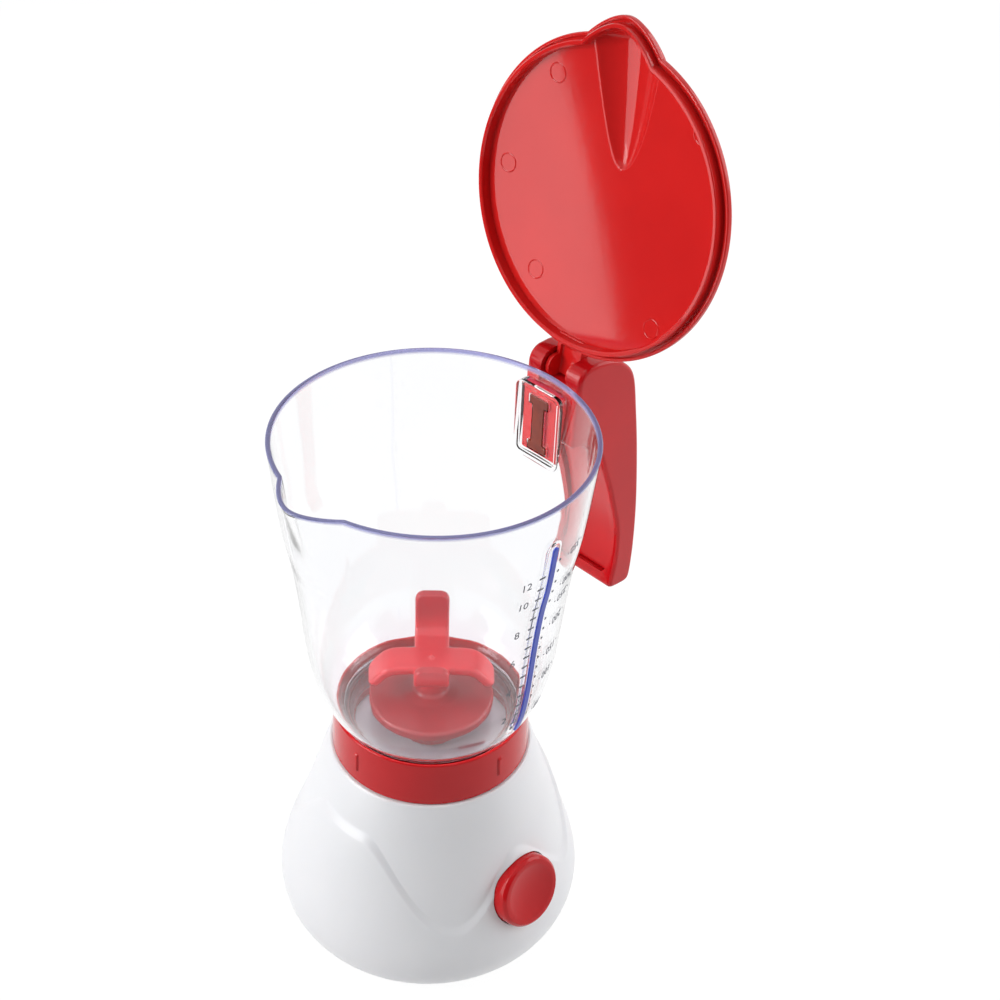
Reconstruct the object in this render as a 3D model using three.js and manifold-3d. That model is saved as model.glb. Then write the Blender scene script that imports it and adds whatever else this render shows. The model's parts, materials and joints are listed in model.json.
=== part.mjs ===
// Toy blender with a lift-off jug, hinged lid and a battery motor in its base.
// Millimetres, +Z up. Origin at the centre of the base's resting face.
// The button faces -Y, the pouring spout -X and the handle +X.
import * as THREE from 'three';
import * as BufferGeometryUtils from 'three/addons/utils/BufferGeometryUtils.js';
import Module from 'manifold-3d';

const wasm = await Module();
wasm.setup();

// Fits shared by every piece
const gap = 0.3;
const overrun = 1;
const mergeTolerance = 0.0001;
const flatTolerance = 0.02;

// Facet counts
const roundSteps = 36;
const bladeSteps = 24;
const mediumSteps = 18;
const smallSteps = 10;
const tinySteps = 7;
const curveSteps = 7;
const wireSides = 5;
const wireSteps = 20;
const coilSteps = 8;
const coilSides = 4;
const profileRows = 6;
const profileSamples = 160;
const dishSteps = 4;
const earSteps = 4;
const handleOuterSteps = 10;
const handleInnerSteps = 12;
const jugSteps = 28;
const lidSteps = 28;
const beakSteps = 8;

// Housing
const baseHeight = 72.5;
const baseRadius = 50.9;
const baseWall = 2.2;
const baseOutlineShares = [
  [0.792, 0], [0.868, 0.016], [0.933, 0.059], [0.981, 0.12], [1, 0.2], [0.979, 0.3],
  [0.917, 0.45], [0.853, 0.6], [0.784, 0.749], [0.716, 0.87], [0.646, 1],
];
const waveFrontHeight = 51;
const waveSideHeight = 59.5;
const waveTroughHeight = 31;
const waveStep = 1.1;
const waveRise = 3.6;
const waveFadeLow = 54;
const waveFadeHigh = 68;
const waveTroughAngle = 58;
const waveSideFlatAngle = 13;
const deckThickness = 2.2;
const columnRadius = 3.2;
const columnFromPlateEdge = 4.4;
const columnAngles = [45, 135, 225, 315];
const columnHoleRadius = 1.1;
const columnTop = 62;

// Collar ring on the housing
const collarHeight = 16.3;
const collarFootRadius = 32;
const collarTopRadius = 31.4;
const collarWall = 1.5;
const collarLipWall = 1;
const collarLipHeight = 4.2;
const collarLipRound = 0.7;
const collarLedgeWidth = 3.4;
const collarLedgeHeight = 3.4;
const lockRibWidth = 1.1;
const lockRibHeight = 7.4;
const lockRibProud = 0.5;
const lockRibFoot = 4.4;
const lockRibAngles = [0, 90, 180, 270];

// Base plate, battery box and door
const plateThickness = 3;
const plateLip = 0.6128;
const boxWall = 1.6;
const doorLength = 52;
const doorWidth = 30.4;
const doorTabWidth = 9;
const doorTabLength = 5;
const doorTabThickness = 1;
const doorEarReach = 33;
const doorEarRadius = 4.2;
const doorBossRadius = 3.4;
const doorBossHeight = 6.5;
const doorGripCount = 4;
const doorGripPitch = 2.4;
const doorGripLength = 12;
const doorGripDepth = 0.6;
const screwHeadRadius = 2.3;
const screwHeadHeight = 1.4;
const screwShankRadius = 0.8;
const screwLength = 10;
const screwSlotWidth = 0.6;
const screwSlotDepth = 0.7;

// Batteries and contacts
const batteryRadius = 7.25;
const batteryLength = 49.2;
const batteryNubRadius = 2.7;
const batteryNubLength = 1.2;
const batteryPitch = 15.6;
const batteryEdge = 0.6;
const contactThickness = 0.5;
const contactHeight = 11;
const contactWidth = 11;
const contactTabHeight = 3;
const contactTabWidth = 3;
const coilTurns = 3;
const coilLength = 2.6;
const coilFootRadius = 3.4;
const coilTopRadius = 2.2;
const coilWireRadius = 0.35;

// Motor and gear train
const motorRadius = 10.2;
const motorFlat = 15.1;
const motorLength = 24.7;
const motorCapLength = 3;
const motorCapInset = 0.5;
const motorBossRadius = 3;
const motorBossHeight = 1.4;
const motorShaftRadius = 1;
const motorShaftDepth = 7;
const motorDistance = 23;
const motorScrewOffset = 7.6;
const toothModule = 0.8;
const pinionTeeth = 10;
const idlerTeeth = 30;
const idlerPinionTeeth = 12;
const driveTeeth = 32;
const toothThicknessShare = 0.37;
const toothRootShare = 1.45;
const toothTipShare = 0.55;
const addendumShare = 0.85;
const dedendumShare = 1.2;
const gearThickness = 3;
const gearFaceGap = 0.6;
const idlerPinRadius = 1.2;
const gearHubWall = 2;
const gearWebRecess = 1.2;
const gearRimWidth = 1.8;
const framePlateThickness = 2;
const framePlateBottom = 52;
const framePostRadius = 2.8;
const framePostFromEdge = 6;
const framePostAngles = [20, 80, 215, 290];
const driveShaftRadius = 1.5;
const bushWall = 1.5;
const bushFlangeWidth = 1.4;
const bushFlangeHeight = 1;
const bushRise = 0.5;

// Drive dog on the shaft and its socket under the jug
const dogBottom = 74.2;
const dogHeight = 5;
const dogHubRadius = 3.4;
const dogVaneReach = 7.5;
const dogVaneWidth = 2;
const couplerRadius = 9.5;
const couplerWall = 1.4;
const couplerVaneInset = 4.3;
const couplerBottom = 75.4;
const couplerHeight = 7.9;
const couplerPlate = 2;
const couplerVaneAngles = [45, 135, 225, 315];

// Push button and switch, along their own tilted axis
const buttonTilt = 17;
const buttonFaceReach = 48.8;
const buttonFaceHeight = 35.9;
const buttonRadius = 12.2;
const buttonRimRadius = 11.4;
const buttonRimHeight = 1;
const buttonDepth = 9;
const buttonWall = 1.4;
const buttonTop = 2.8;
const buttonDish = 1.3;
const buttonDishRadius = 9.8;
const buttonFlange = 1.2;
const buttonFlangeHeight = 1.3;
const buttonTravel = 3;
const buttonStemRadius = 1.6;
const buttonBossWall = 1.5;
const switchPlateThickness = 1.6;
const switchPlateDepth = 14.2;
const switchEarRadius = 2.6;
const switchEarReach = 18;
const switchBodyLength = 12.6;
const switchBodyWidth = 6.4;
const switchBodyHeight = 6.6;
const switchPlungerRadius = 1.3;
const switchTabLength = 3.4;
const switchTabWidth = 2;
const switchTabThickness = 0.6;
const switchTabPitch = 7;
const springRadius = 5;
const springWireRadius = 0.5;
const springTurns = 4;

// Jug
const jugFoot = 76.5;
const rimHeight = 190.5;
const rimRadius = 48;
const jugWall = 1.5;
const jugFloorTop = 87.2;
const jugFloorThickness = 2;
const neckRadius = 28.4;
const jugOutlineShares = [
  [0.5917, 0], [0.5958, 0.085], [0.622, 0.1105], [0.6979, 0.1544], [0.7729, 0.2386],
  [0.8167, 0.3439], [0.8542, 0.5123], [0.89, 0.64], [0.9417, 0.7649], [1, 1],
];
const jugRowShares = [0, 0.085, 0.1105, 0.1544, 0.2386, 0.3439, 0.5123, 0.64, 0.7649, 0.88, 1];
const spoutReach = 6;
const spoutHalfAngle = 16.5;
const spoutTipShare = 0.35;
const spoutDepth = 34;
const spoutCurvePower = 1.4;
const pocketInnerX = 43;
const pocketHalfWidth = 9.4;
const pocketBottom = 161;
const pocketTop = 187.9;
const pocketWall = 1.4;
const pocketBorder = 1.5;
const pocketBorderProud = 0.6;
const slotHeight = 20;
const slotWidth = 3;
const slotEndWidth = 5.8;
const slotEndHeight = 3.2;
const stripWidth = 2.2;
const stripProud = 0.9;
const stripBottom = 99;
const stripTop = 176;
const stripAngle = -87.5;
const channelWall = 0.7;
const channelProud = 0.8;

// Blade rotor
const discRadius = 20;
const discBottom = 88.4;
const discThickness = 3.2;
const discCrown = 1.2;
const discWall = 1.6;
const hubRadius = 5.5;
const hubTop = 107.6;
const armWidth = 10;
const armThickness = 3;
const armLevel = 104.8;
const droopReach = 20.5;
const droopTipLevel = 97.4;
const droopAngles = [136.7, -43.3];
const upReach = 15.5;
const upTipLevel = 118.7;
const upAngles = [-133.3, 46.7];
const armBendRadius = 4;
const bladeShaftRadius = 1.5;
const bladeShaftTop = 103;

// Handle
const handleFaceX = 48.5;
const handleReach = 34.7;
const handleTop = 195.5;
const handleDrop = 96.1;
const handleWidth = 22;
const handleRound = 1.6;
const handleOuterShares = [
  [0.758, 0.1176], [0.839, 0.261], [0.9135, 0.434], [0.98, 0.6545], [1, 0.8335], [0.9856, 0.962],
];
const handleFootShares = [[0.962, 0.994]];
const handleInnerShares = [
  [0.669, 0.981], [0.7205, 0.869], [0.706, 0.7336], [0.588, 0.585], [0.464, 0.46], [0.3545, 0.359],
  [0.19, 0.304],
];
const handleShoulderShares = [[0.62, 0.052], [0.245, 0]];
const handleFaceFootShare = 0.291;
const handleWall = 2.4;
const panelHalfWidth = 7.5;
const panelDepth = 1.8;
const panelFromShare = 0.06;
const panelToShare = 0.86;
const coverThickness = 1.6;
const coverLedge = 1.5;
const tongueHalfWidth = 7.6;
const tongueThickness = 2.4;
const hookThickness = 1.3;
const hookHeight = 12;
const hookReach = 2.2;

// Lid and its hinge
const hingeX = 53.8;
const hingeZ = 190.25;
const lidOpenAngle = 98.3;
const lidRadius = 47.2;
const lidBeakReach = 6;
const lidFlange = 2.2;
const lidCrown = 1.9;
const lidEdgeRound = 0.8;
const lipInset = 2;
const lipThickness = 1.5;
const lipDepth = 2.6;
const grooveWidth = 0.9;
const grooveDepth = 0.7;
const spineLength = 33;
const spineTipInset = 1.6;
const spineHalfWidth = 13;
const spineHeight = 8;
const spineWall = 1.6;
const spineSlope = 7;
const armHalfWidth = 5;
const armWall = 1.5;
const armWeb = 1.8;
const armOverlap = 4;
const barrelRadius = 3.6;
const stubRadius = 1.8;
const stubLength = 2.6;
const armSlotDepth = 4.9;

// Wires inside the housing, routed by shares of the base's radius and height
const wireRadius = 0.6;
const redWireShares = [
  [-0.54, -0.22, 0.331], [-0.47, -0.31, 0.352], [-0.275, -0.4, 0.364], [-0.138, -0.425, 0.375],
];
const yellowWireShares = [
  [0.067, -0.39, 0.367], [0, -0.275, 0.331], [-0.157, -0.177, 0.312], [-0.314, -0.122, 0.312],
  [-0.42, -0.104, 0.316],
];
const blackWireShares = [
  [-0.542, 0.189, 0.334], [-0.51, 0.224, 0.326], [-0.46, 0.193, 0.313], [-0.444, 0.138, 0.312],
];

// Sizes that follow from the ones above
const degree = Math.PI / 180;
const collarFoot = baseHeight + gap;
const plateRadius = baseOutlineShares[0][0] * baseRadius - plateLip - gap;
const columnCircle = plateRadius - columnFromPlateEdge;
const framePlateRadius = columnCircle - columnRadius - gap;
const framePostCircle = framePlateRadius - framePostFromEdge;
const collarTop = collarFoot + collarHeight;
const jugHeight = rimHeight - jugFoot;
const lidSeat = rimHeight + gap;
const contactInset = gap + contactThickness;
const boxLength = batteryLength + batteryNubLength + coilLength + 3 * contactThickness / 2 + 4 * gap;
const boxWidth = 2 * batteryPitch;
const batteryLevel = plateThickness + gap + batteryRadius;
const boxTop = batteryLevel + batteryRadius + gap + boxWall;
const idlerDistance = toothModule * (idlerPinionTeeth + driveTeeth) / 2;
const pinionDistance = toothModule * (pinionTeeth + idlerTeeth) / 2;
const idlerTurn = Math.acos(
  (idlerDistance ** 2 + motorDistance ** 2 - pinionDistance ** 2) / (2 * idlerDistance * motorDistance),
);
const idlerX = -idlerDistance * Math.cos(idlerTurn);
const idlerY = idlerDistance * Math.sin(idlerTurn);
const towardsMotor = Math.atan2(-idlerY, -motorDistance - idlerX);
const towardsDrive = Math.atan2(-idlerY, -idlerX);
const framePlateTop = framePlateBottom + framePlateThickness;
const deckUnderside = baseHeight - deckThickness;
const idlerBottom = framePlateTop + bushFlangeHeight + 2 * gap + screwHeadHeight;
const driveGearBottom = idlerBottom + gearThickness + gearFaceGap;
const motorTop = framePlateBottom - gap;
const pinionTop = idlerBottom + gearThickness + gap;
const frameScrewLength = deckUnderside - framePlateBottom + screwHeadHeight + gap + deckThickness / 3;
const motorScrewLength = framePlateThickness + screwHeadHeight + screwLength / 4;
const jugFloorBottom = jugFloorTop - jugFloorThickness;
const couplerTop = couplerBottom + couplerHeight;
const bushOuter = driveShaftRadius + gap + bushWall;
const buttonHole = buttonRadius + gap;
const buttonBossInner = buttonRadius + buttonFlange + gap;
const buttonBossOuter = buttonBossInner + buttonBossWall;

// Colours
const whitePlastic = () => new THREE.MeshStandardMaterial({ color: 0xf2f2f4, roughness: 0.32 });
const redPlastic = () => new THREE.MeshStandardMaterial({ color: 0xc4161c, roughness: 0.25 });
const bladePlastic = () => new THREE.MeshStandardMaterial({ color: 0xc02a33, roughness: 0.35 });
const clearPlastic = () => new THREE.MeshStandardMaterial({
  color: 0xe9eef6, roughness: 0.06, transparent: true, opacity: 0.3,
});
const bluePlastic = () => new THREE.MeshStandardMaterial({ color: 0x2b3fae, roughness: 0.3 });
const nylon = () => new THREE.MeshStandardMaterial({ color: 0xe7e4da, roughness: 0.5 });
const blackPlastic = () => new THREE.MeshStandardMaterial({ color: 0x1c1c1f, roughness: 0.5 });
const steel = () => new THREE.MeshStandardMaterial({ color: 0xb8bac0, roughness: 0.3, metalness: 1 });
const brass = () => new THREE.MeshStandardMaterial({ color: 0xc9a24a, roughness: 0.35, metalness: 1 });
const rubber = () => new THREE.MeshStandardMaterial({ color: 0x2a2a2c, roughness: 0.8 });
const batteryGreen = () => new THREE.MeshStandardMaterial({ color: 0x2f6f4a, roughness: 0.35 });
const wireColour = (colour) => new THREE.MeshStandardMaterial({ color: colour, roughness: 0.5 });

// Solids in and out of the boolean library
function toManifold(geometry) {
  const bare = geometry.clone();
  bare.deleteAttribute('normal');
  bare.deleteAttribute('uv');
  const merged = BufferGeometryUtils.mergeVertices(bare, mergeTolerance);
  const vertices = merged.attributes.position.array;
  const triangles = [];
  let volume = 0;
  for (let i = 0; i < merged.index.count; i += 3) {
    const [a, b, c] = [merged.index.getX(i), merged.index.getX(i + 1), merged.index.getX(i + 2)];
    if (a === b || b === c || c === a) continue;
    triangles.push([a, b, c]);
    volume += new THREE.Vector3().fromArray(vertices, 3 * a)
      .dot(new THREE.Vector3().fromArray(vertices, 3 * b)
        .cross(new THREE.Vector3().fromArray(vertices, 3 * c)));
  }
  const outward = volume > 0 ? triangles : triangles.map(([a, b, c]) => [a, c, b]);
  return new wasm.Manifold(new wasm.Mesh({
    numProp: 3, vertProperties: Float32Array.from(vertices), triVerts: Uint32Array.from(outward.flat()),
  }));
}

function toGeometry(manifold) {
  const mesh = manifold.getMesh();
  const geometry = new THREE.BufferGeometry();
  geometry.setAttribute('position', new THREE.BufferAttribute(Float32Array.from(mesh.vertProperties), 3));
  geometry.setIndex(new THREE.BufferAttribute(Uint32Array.from(mesh.triVerts), 1));
  return geometry;
}

const join = (...parts) => toGeometry(parts.map(toManifold).reduce((a, b) => a.add(b)));
const cut = (part, ...tools) => toGeometry([part, ...tools].map(toManifold).reduce((a, b) => a.subtract(b)));
const common = (...parts) => toGeometry(parts.map(toManifold).reduce((a, b) => a.intersect(b)));

// Basic forms
function revolve(points, steps) {
  const outline = points.map(([r, z]) => new THREE.Vector2(r, z));
  return new THREE.LatheGeometry(outline, steps).rotateX(Math.PI / 2);
}

function disc(radius, bottom, top, steps = mediumSteps) {
  return revolve([[0, bottom], [radius, bottom], [radius, top], [0, top]], steps);
}

function ring(inner, outer, bottom, top, steps = mediumSteps) {
  return revolve([[inner, bottom], [outer, bottom], [outer, top], [inner, top], [inner, bottom]], steps);
}

function block(x0, x1, y0, y1, z0, z1) {
  return new THREE.BoxGeometry(x1 - x0, y1 - y0, z1 - z0)
    .translate((x0 + x1) / 2, (y0 + y1) / 2, (z0 + z1) / 2);
}

function extrude(points, depth, bevel = 0) {
  const shape = new THREE.Shape(points.map((p) => new THREE.Vector2(p.x, p.y)));
  return new THREE.ExtrudeGeometry(shape, {
    depth: depth - 2 * bevel,
    bevelEnabled: bevel > 0,
    bevelThickness: bevel,
    bevelSize: bevel,
    bevelOffset: -bevel,
    bevelSegments: 2,
  }).translate(0, 0, bevel);
}

// An outline in X and Z, drawn out along Y about the middle plane
function extrudeAcross(points, width, bevel = 0) {
  return extrude(points, width, bevel).translate(0, 0, -width / 2).rotateX(Math.PI / 2);
}

const at = (x, y) => new THREE.Vector2(x, y);

function smooth(points, steps) {
  return new THREE.SplineCurve(points).getPoints(steps);
}

// The points of an open curve moved sideways, to the left of its direction when positive
function offset(points, distance) {
  return points.map((point, i) => {
    const before = points[Math.max(i - 1, 0)];
    const after = points[Math.min(i + 1, points.length - 1)];
    const along = after.clone().sub(before).normalize();
    return at(point.x - along.y * distance, point.y + along.x * distance);
  });
}

const band = (points, from, to) => [...offset(points, from), ...offset(points, to).reverse()];

// A closed body through rings of points, with flat ends
function loft(rings) {
  const count = rings[0].length;
  const positions = rings.flat().flatMap((p) => [p.x, p.y, p.z]);
  const index = [];
  for (let j = 0; j < rings.length - 1; j += 1) {
    for (let i = 0; i < count; i += 1) {
      const next = (i + 1) % count;
      const [a, b, c, d] = [j * count + i, j * count + next, (j + 1) * count + next, (j + 1) * count + i];
      index.push(a, b, c, a, c, d);
    }
  }
  [rings[0], rings[rings.length - 1]].forEach((ringPoints, end) => {
    const centre = positions.length / 3;
    const middle = ringPoints.reduce((sum, p) => sum.add(p), new THREE.Vector3()).divideScalar(count);
    positions.push(middle.x, middle.y, middle.z);
    const first = end * (rings.length - 1) * count;
    for (let i = 0; i < count; i += 1) {
      const next = (i + 1) % count;
      if (end === 0) index.push(centre, first + next, first + i);
      else index.push(centre, first + i, first + next);
    }
  });
  const geometry = new THREE.BufferGeometry();
  geometry.setAttribute('position', new THREE.Float32BufferAttribute(positions, 3));
  geometry.setIndex(index);
  return geometry;
}

function tube(points, radius, sides, steps) {
  const path = new THREE.CatmullRomCurve3(points);
  const section = new THREE.Shape(Array.from({ length: sides }, (_, i) => at(
    radius * Math.cos(2 * Math.PI * i / sides), radius * Math.sin(2 * Math.PI * i / sides),
  )));
  return new THREE.ExtrudeGeometry(section, { steps, bevelEnabled: false, extrudePath: path });
}

// A coil as one unbroken wire about +Z
function coil(footRadius, topRadius, length, turns, wire) {
  const count = turns * coilSteps;
  const points = Array.from({ length: count + 1 }, (_, i) => {
    const radius = footRadius + (topRadius - footRadius) * i / count;
    const angle = 2 * Math.PI * turns * i / count;
    const level = wire + (length - 2 * wire) * i / count;
    return at3(radius * Math.cos(angle), radius * Math.sin(angle), level);
  });
  return tube(points, wire, coilSides, count);
}

// A pan-head screw along -Z, its head's top at the origin
function screw(length) {
  const body = revolve([
    [0, -length], [screwShankRadius, -length + screwHeadHeight], [screwShankRadius, -screwHeadHeight],
    [screwHeadRadius, -screwHeadHeight], [screwHeadRadius, -screwHeadHeight / 2],
    [screwHeadRadius / 2, 0], [0, 0],
  ], tinySteps);
  const [reach, half] = [screwHeadRadius / 2, screwSlotWidth / 2];
  const slot = block(-reach, reach, -half, half, -screwSlotDepth, overrun);
  return cut(body, slot);
}

const at3 = (x, y, z) => new THREE.Vector3(x, y, z);

const polar = (radius, angle, z) => at3(
  radius * Math.cos(angle * degree), radius * Math.sin(angle * degree), z,
);

// Copies set on a circle about +Z, and a pair set either side of the middle plane
const around = (geometry, radius, angles) => angles.map((angle) => {
  const place = polar(radius, angle, 0);
  return geometry.clone().translate(place.x, place.y, 0);
});
const pair = (geometry, y) => [1, -1].map((side) => geometry.clone().translate(0, side * y, 0));

const ease = (t) => {
  const limited = Math.min(Math.max(t, 0), 1);
  return limited * limited * (3 - 2 * limited);
};

// Reads a radius off a table of [radius, height] shares by a smooth curve
function outlineReader(shares, radius, height, foot) {
  const curve = new THREE.SplineCurve(shares.map(([r, z]) => at(r * radius, foot + z * height)));
  const points = curve.getPoints(profileSamples);
  return (z) => {
    const after = points.findIndex((p) => p.y >= z);
    if (after <= 0) return points[after === 0 ? 0 : points.length - 1].x;
    const [a, b] = [points[after - 1], points[after]];
    return a.x + (b.x - a.x) * (z - a.y) / (b.y - a.y);
  };
}

const baseRadiusAt = outlineReader(baseOutlineShares, baseRadius, baseHeight, 0);
const jugRadiusAt = outlineReader(jugOutlineShares, rimRadius, jugHeight, jugFoot);

// Height of the moulded wave line at an angle about +Z
function waveHeight(angle) {
  const folded = Math.abs(((angle % 180) + 180) % 180);
  const fromSide = Math.min(folded, 180 - folded);
  if (fromSide < waveTroughAngle) {
    const rise = ease((waveTroughAngle - fromSide) / (waveTroughAngle - waveSideFlatAngle));
    return waveTroughHeight + (waveSideHeight - waveTroughHeight) * rise;
  }
  const rise = ease((fromSide - waveTroughAngle) / (90 - waveTroughAngle));
  return waveTroughHeight + (waveFrontHeight - waveTroughHeight) * rise;
}

// The housing's outer radius: above the wave line the surface lies back by the step
function housingRadius(angle, z) {
  const above = ease((z - waveHeight(angle) + waveRise) / waveRise);
  const fade = 1 - ease((z - waveFadeLow) / (waveFadeHigh - waveFadeLow));
  return baseRadiusAt(z) - waveStep * above * fade;
}

// Rows of the housing follow the wave, so that its step stays crisp
const skirtRowShares = [0, 0.03, 0.1, 0.22, 0.42, 0.68, 1];
const upperRowShares = [0.2, 0.5, 1];

function housingBody(inset, foot) {
  const columnHeights = (angle) => {
    const wave = waveHeight(angle);
    const skirt = skirtRowShares.map((share) => foot + (wave - waveRise - foot) * share);
    const step = [wave - waveRise / 2, wave];
    const upper = upperRowShares.map((share) => wave + (baseHeight - wave) * share);
    return [...skirt, ...step, ...upper];
  };
  const angles = Array.from({ length: roundSteps }, (_, i) => 360 * i / roundSteps);
  const columns = angles.map((angle) => columnHeights(angle)
    .map((z) => polar(housingRadius(angle, z) - inset, angle, z)));
  return loft(columns[0].map((_, row) => columns.map((column) => column[row])));
}

function roundBody(inset, bottom, top) {
  const points = Array.from({ length: profileRows + 1 }, (_, i) => {
    const z = bottom + (top - bottom) * i / profileRows;
    return [baseRadiusAt(z) - inset, z];
  });
  return revolve([[0, bottom], ...points, [0, top]], roundSteps);
}

// The button's own axis: local +Z points out of the housing
const buttonPlace = new THREE.Matrix4()
  .makeTranslation(0, -buttonFaceReach, buttonFaceHeight)
  .multiply(new THREE.Matrix4().makeRotationX((90 - buttonTilt) * degree));
const placeAtButton = (geometry) => geometry.clone().applyMatrix4(buttonPlace);

function switchEarHole(side, radius, bottom, top) {
  return disc(radius, bottom, top, smallSteps).translate(side * switchEarReach, 0, 0);
}

// An ear with its web back to the boss
function switchEar(side, bottom, top) {
  const start = (buttonBossInner + buttonBossOuter) / 2;
  const web = block(start, switchEarReach, -switchEarRadius, switchEarRadius, bottom, top);
  const ear = switchEarHole(1, switchEarRadius, bottom, top);
  return join(ear, web).rotateZ(side > 0 ? 0 : Math.PI);
}

function buildHousing() {
  const cavityInset = baseWall + waveStep;
  const mouth = disc(plateRadius + gap, -overrun, plateThickness + gap, roundSteps);
  const shell = cut(housingBody(0, 0), roundBody(cavityInset, plateThickness, deckUnderside), mouth);
  const inside = roundBody(baseWall / 2, plateThickness + gap, deckUnderside + deckThickness / 2);
  const column = disc(columnRadius, plateThickness + gap, columnTop, smallSteps);
  const boss = ring(buttonBossInner, buttonBossOuter, -switchPlateDepth + gap, 0);
  const ears = [1, -1].map((side) => switchEar(side, -switchPlateDepth + gap, 0));
  const inner = [
    placeAtButton(join(boss, ...ears)), ...around(column, columnCircle, columnAngles),
  ].map((form) => common(form, inside));
  const columnHole = disc(columnHoleRadius, -overrun, screwLength + overrun, tinySteps);
  const postHole = disc(columnHoleRadius, deckUnderside - overrun, baseHeight - deckThickness / 3, tinySteps);
  const earHoles = [1, -1].map((side) => placeAtButton(switchEarHole(
    side, columnHoleRadius, -switchPlateDepth - overrun, -switchPlateDepth + screwLength / 2 + overrun / 2,
  )));
  const shaftHole = disc(bushOuter + gap, deckUnderside - overrun, baseHeight + overrun, smallSteps);
  const buttonOpening = placeAtButton(disc(buttonHole, -buttonDepth, buttonDepth));
  const buttonRoom = placeAtButton(disc(
    buttonBossInner, -switchPlateDepth, -buttonDepth + buttonFlangeHeight + gap,
  ));
  return cut(
    join(shell, ...inner), ...around(columnHole, columnCircle, columnAngles),
    ...around(postHole, framePostCircle, framePostAngles), ...earHoles, shaftHole, buttonOpening, buttonRoom,
  );
}

function buildCollar() {
  const lipFoot = collarTop - collarLipHeight;
  const ledgeInner = collarFootRadius - collarWall - collarLedgeWidth;
  const ledgeTop = collarFoot + collarLedgeHeight;
  const innerRadius = collarTopRadius - collarWall;
  const body = revolve([
    [ledgeInner, collarFoot], [collarFootRadius, collarFoot], [collarTopRadius, collarTop - collarLipRound],
    [collarTopRadius - collarLipRound / 2, collarTop], [collarTopRadius - collarLipWall + gap / 2, collarTop],
    [collarTopRadius - collarLipWall, collarTop - collarLipRound], [collarTopRadius - collarLipWall, lipFoot],
    [innerRadius, lipFoot - collarLipRound], [innerRadius, ledgeTop], [ledgeInner, ledgeTop],
    [ledgeInner, collarFoot],
  ], roundSteps);
  const rib = block(
    innerRadius + collarWall / 2, collarFootRadius + lockRibProud - gap, -lockRibWidth / 2, lockRibWidth / 2,
    collarFoot + lockRibFoot, collarFoot + lockRibFoot + lockRibHeight,
  );
  return join(body, ...lockRibAngles.map((angle) => rib.clone().rotateZ(angle * degree)));
}

const doorEar = (radius, bottom, top) => disc(radius, bottom, top, smallSteps).translate(doorEarReach, 0, 0);

function buildBasePlate() {
  const plate = disc(plateRadius, 0, plateThickness, roundSteps);
  const [halfLength, halfWidth] = [boxLength / 2, boxWidth / 2];
  const wallFoot = plateThickness + gap;
  const box = block(
    -halfLength - boxWall, halfLength + boxWall, -halfWidth - boxWall, halfWidth + boxWall,
    plateThickness / 2, boxTop,
  );
  const room = block(-halfLength, halfLength, -halfWidth, halfWidth, plateThickness, boxTop - boxWall);
  const doorway = block(
    -doorLength / 2 - gap, doorLength / 2 + gap, -doorWidth / 2 - gap, doorWidth / 2 + gap,
    -overrun, plateThickness + overrun,
  );
  const tabSlot = block(
    -doorLength / 2 - doorTabLength - gap, -doorLength / 2, -doorTabWidth / 2 - gap, doorTabWidth / 2 + gap,
    plateThickness - doorTabThickness - gap, wallFoot,
  );
  const earRoom = join(
    doorEar(doorEarRadius + gap, -overrun, wallFoot),
    block(doorLength / 2, doorEarReach, -doorEarRadius - gap, doorEarRadius + gap, -overrun, wallFoot),
  );
  const bossTop = wallFoot + doorBossHeight;
  const boss = join(
    doorEar(doorBossRadius, wallFoot, bossTop),
    block(halfLength + boxWall / 2, doorEarReach, -doorBossRadius, doorBossRadius, wallFoot, bossTop),
  );
  const screwHole = doorEar(columnHoleRadius, plateThickness, bossTop - overrun);
  const through = disc(columnHoleRadius + gap / 2, -overrun, plateThickness + overrun, tinySteps);
  const sink = disc(screwHeadRadius + gap, -overrun, screwHeadHeight + 2 * gap, smallSteps);
  const wireSlot = block(
    -halfLength - boxWall - overrun, -halfLength + contactInset + gap, -contactTabWidth, contactTabWidth,
    boxTop - boxWall - contactTabHeight, boxTop + overrun,
  );
  const hollowed = cut(join(plate, box), doorway, tabSlot, earRoom);
  return cut(
    join(hollowed, boss), room, screwHole, ...around(through, columnCircle, columnAngles),
    ...around(sink, columnCircle, columnAngles), ...pair(wireSlot, batteryPitch / 2),
  );
}

function buildDoor() {
  const panel = block(-doorLength / 2, doorLength / 2, -doorWidth / 2, doorWidth / 2, 0, plateThickness);
  const tab = block(
    -doorLength / 2 - doorTabLength, -doorLength / 2 + overrun, -doorTabWidth / 2, doorTabWidth / 2,
    plateThickness - doorTabThickness, plateThickness,
  );
  const ear = doorEar(doorEarRadius, 0, plateThickness);
  const neck = block(
    doorLength / 2 - overrun, doorEarReach, -doorEarRadius, doorEarRadius, 0, plateThickness,
  );
  const sink = doorEar(screwHeadRadius + gap, -overrun, screwHeadHeight + 2 * gap);
  const hole = doorEar(screwShankRadius + gap, -overrun, plateThickness + overrun);
  const grips = Array.from({ length: doorGripCount }, (_, i) => {
    const x = -doorLength / 2 + doorTabLength + i * doorGripPitch;
    return block(x, x + doorGripPitch / 2, -doorGripLength / 2, doorGripLength / 2, -overrun, doorGripDepth);
  });
  return cut(join(panel, tab, ear, neck), sink, hole, ...grips);
}

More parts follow.
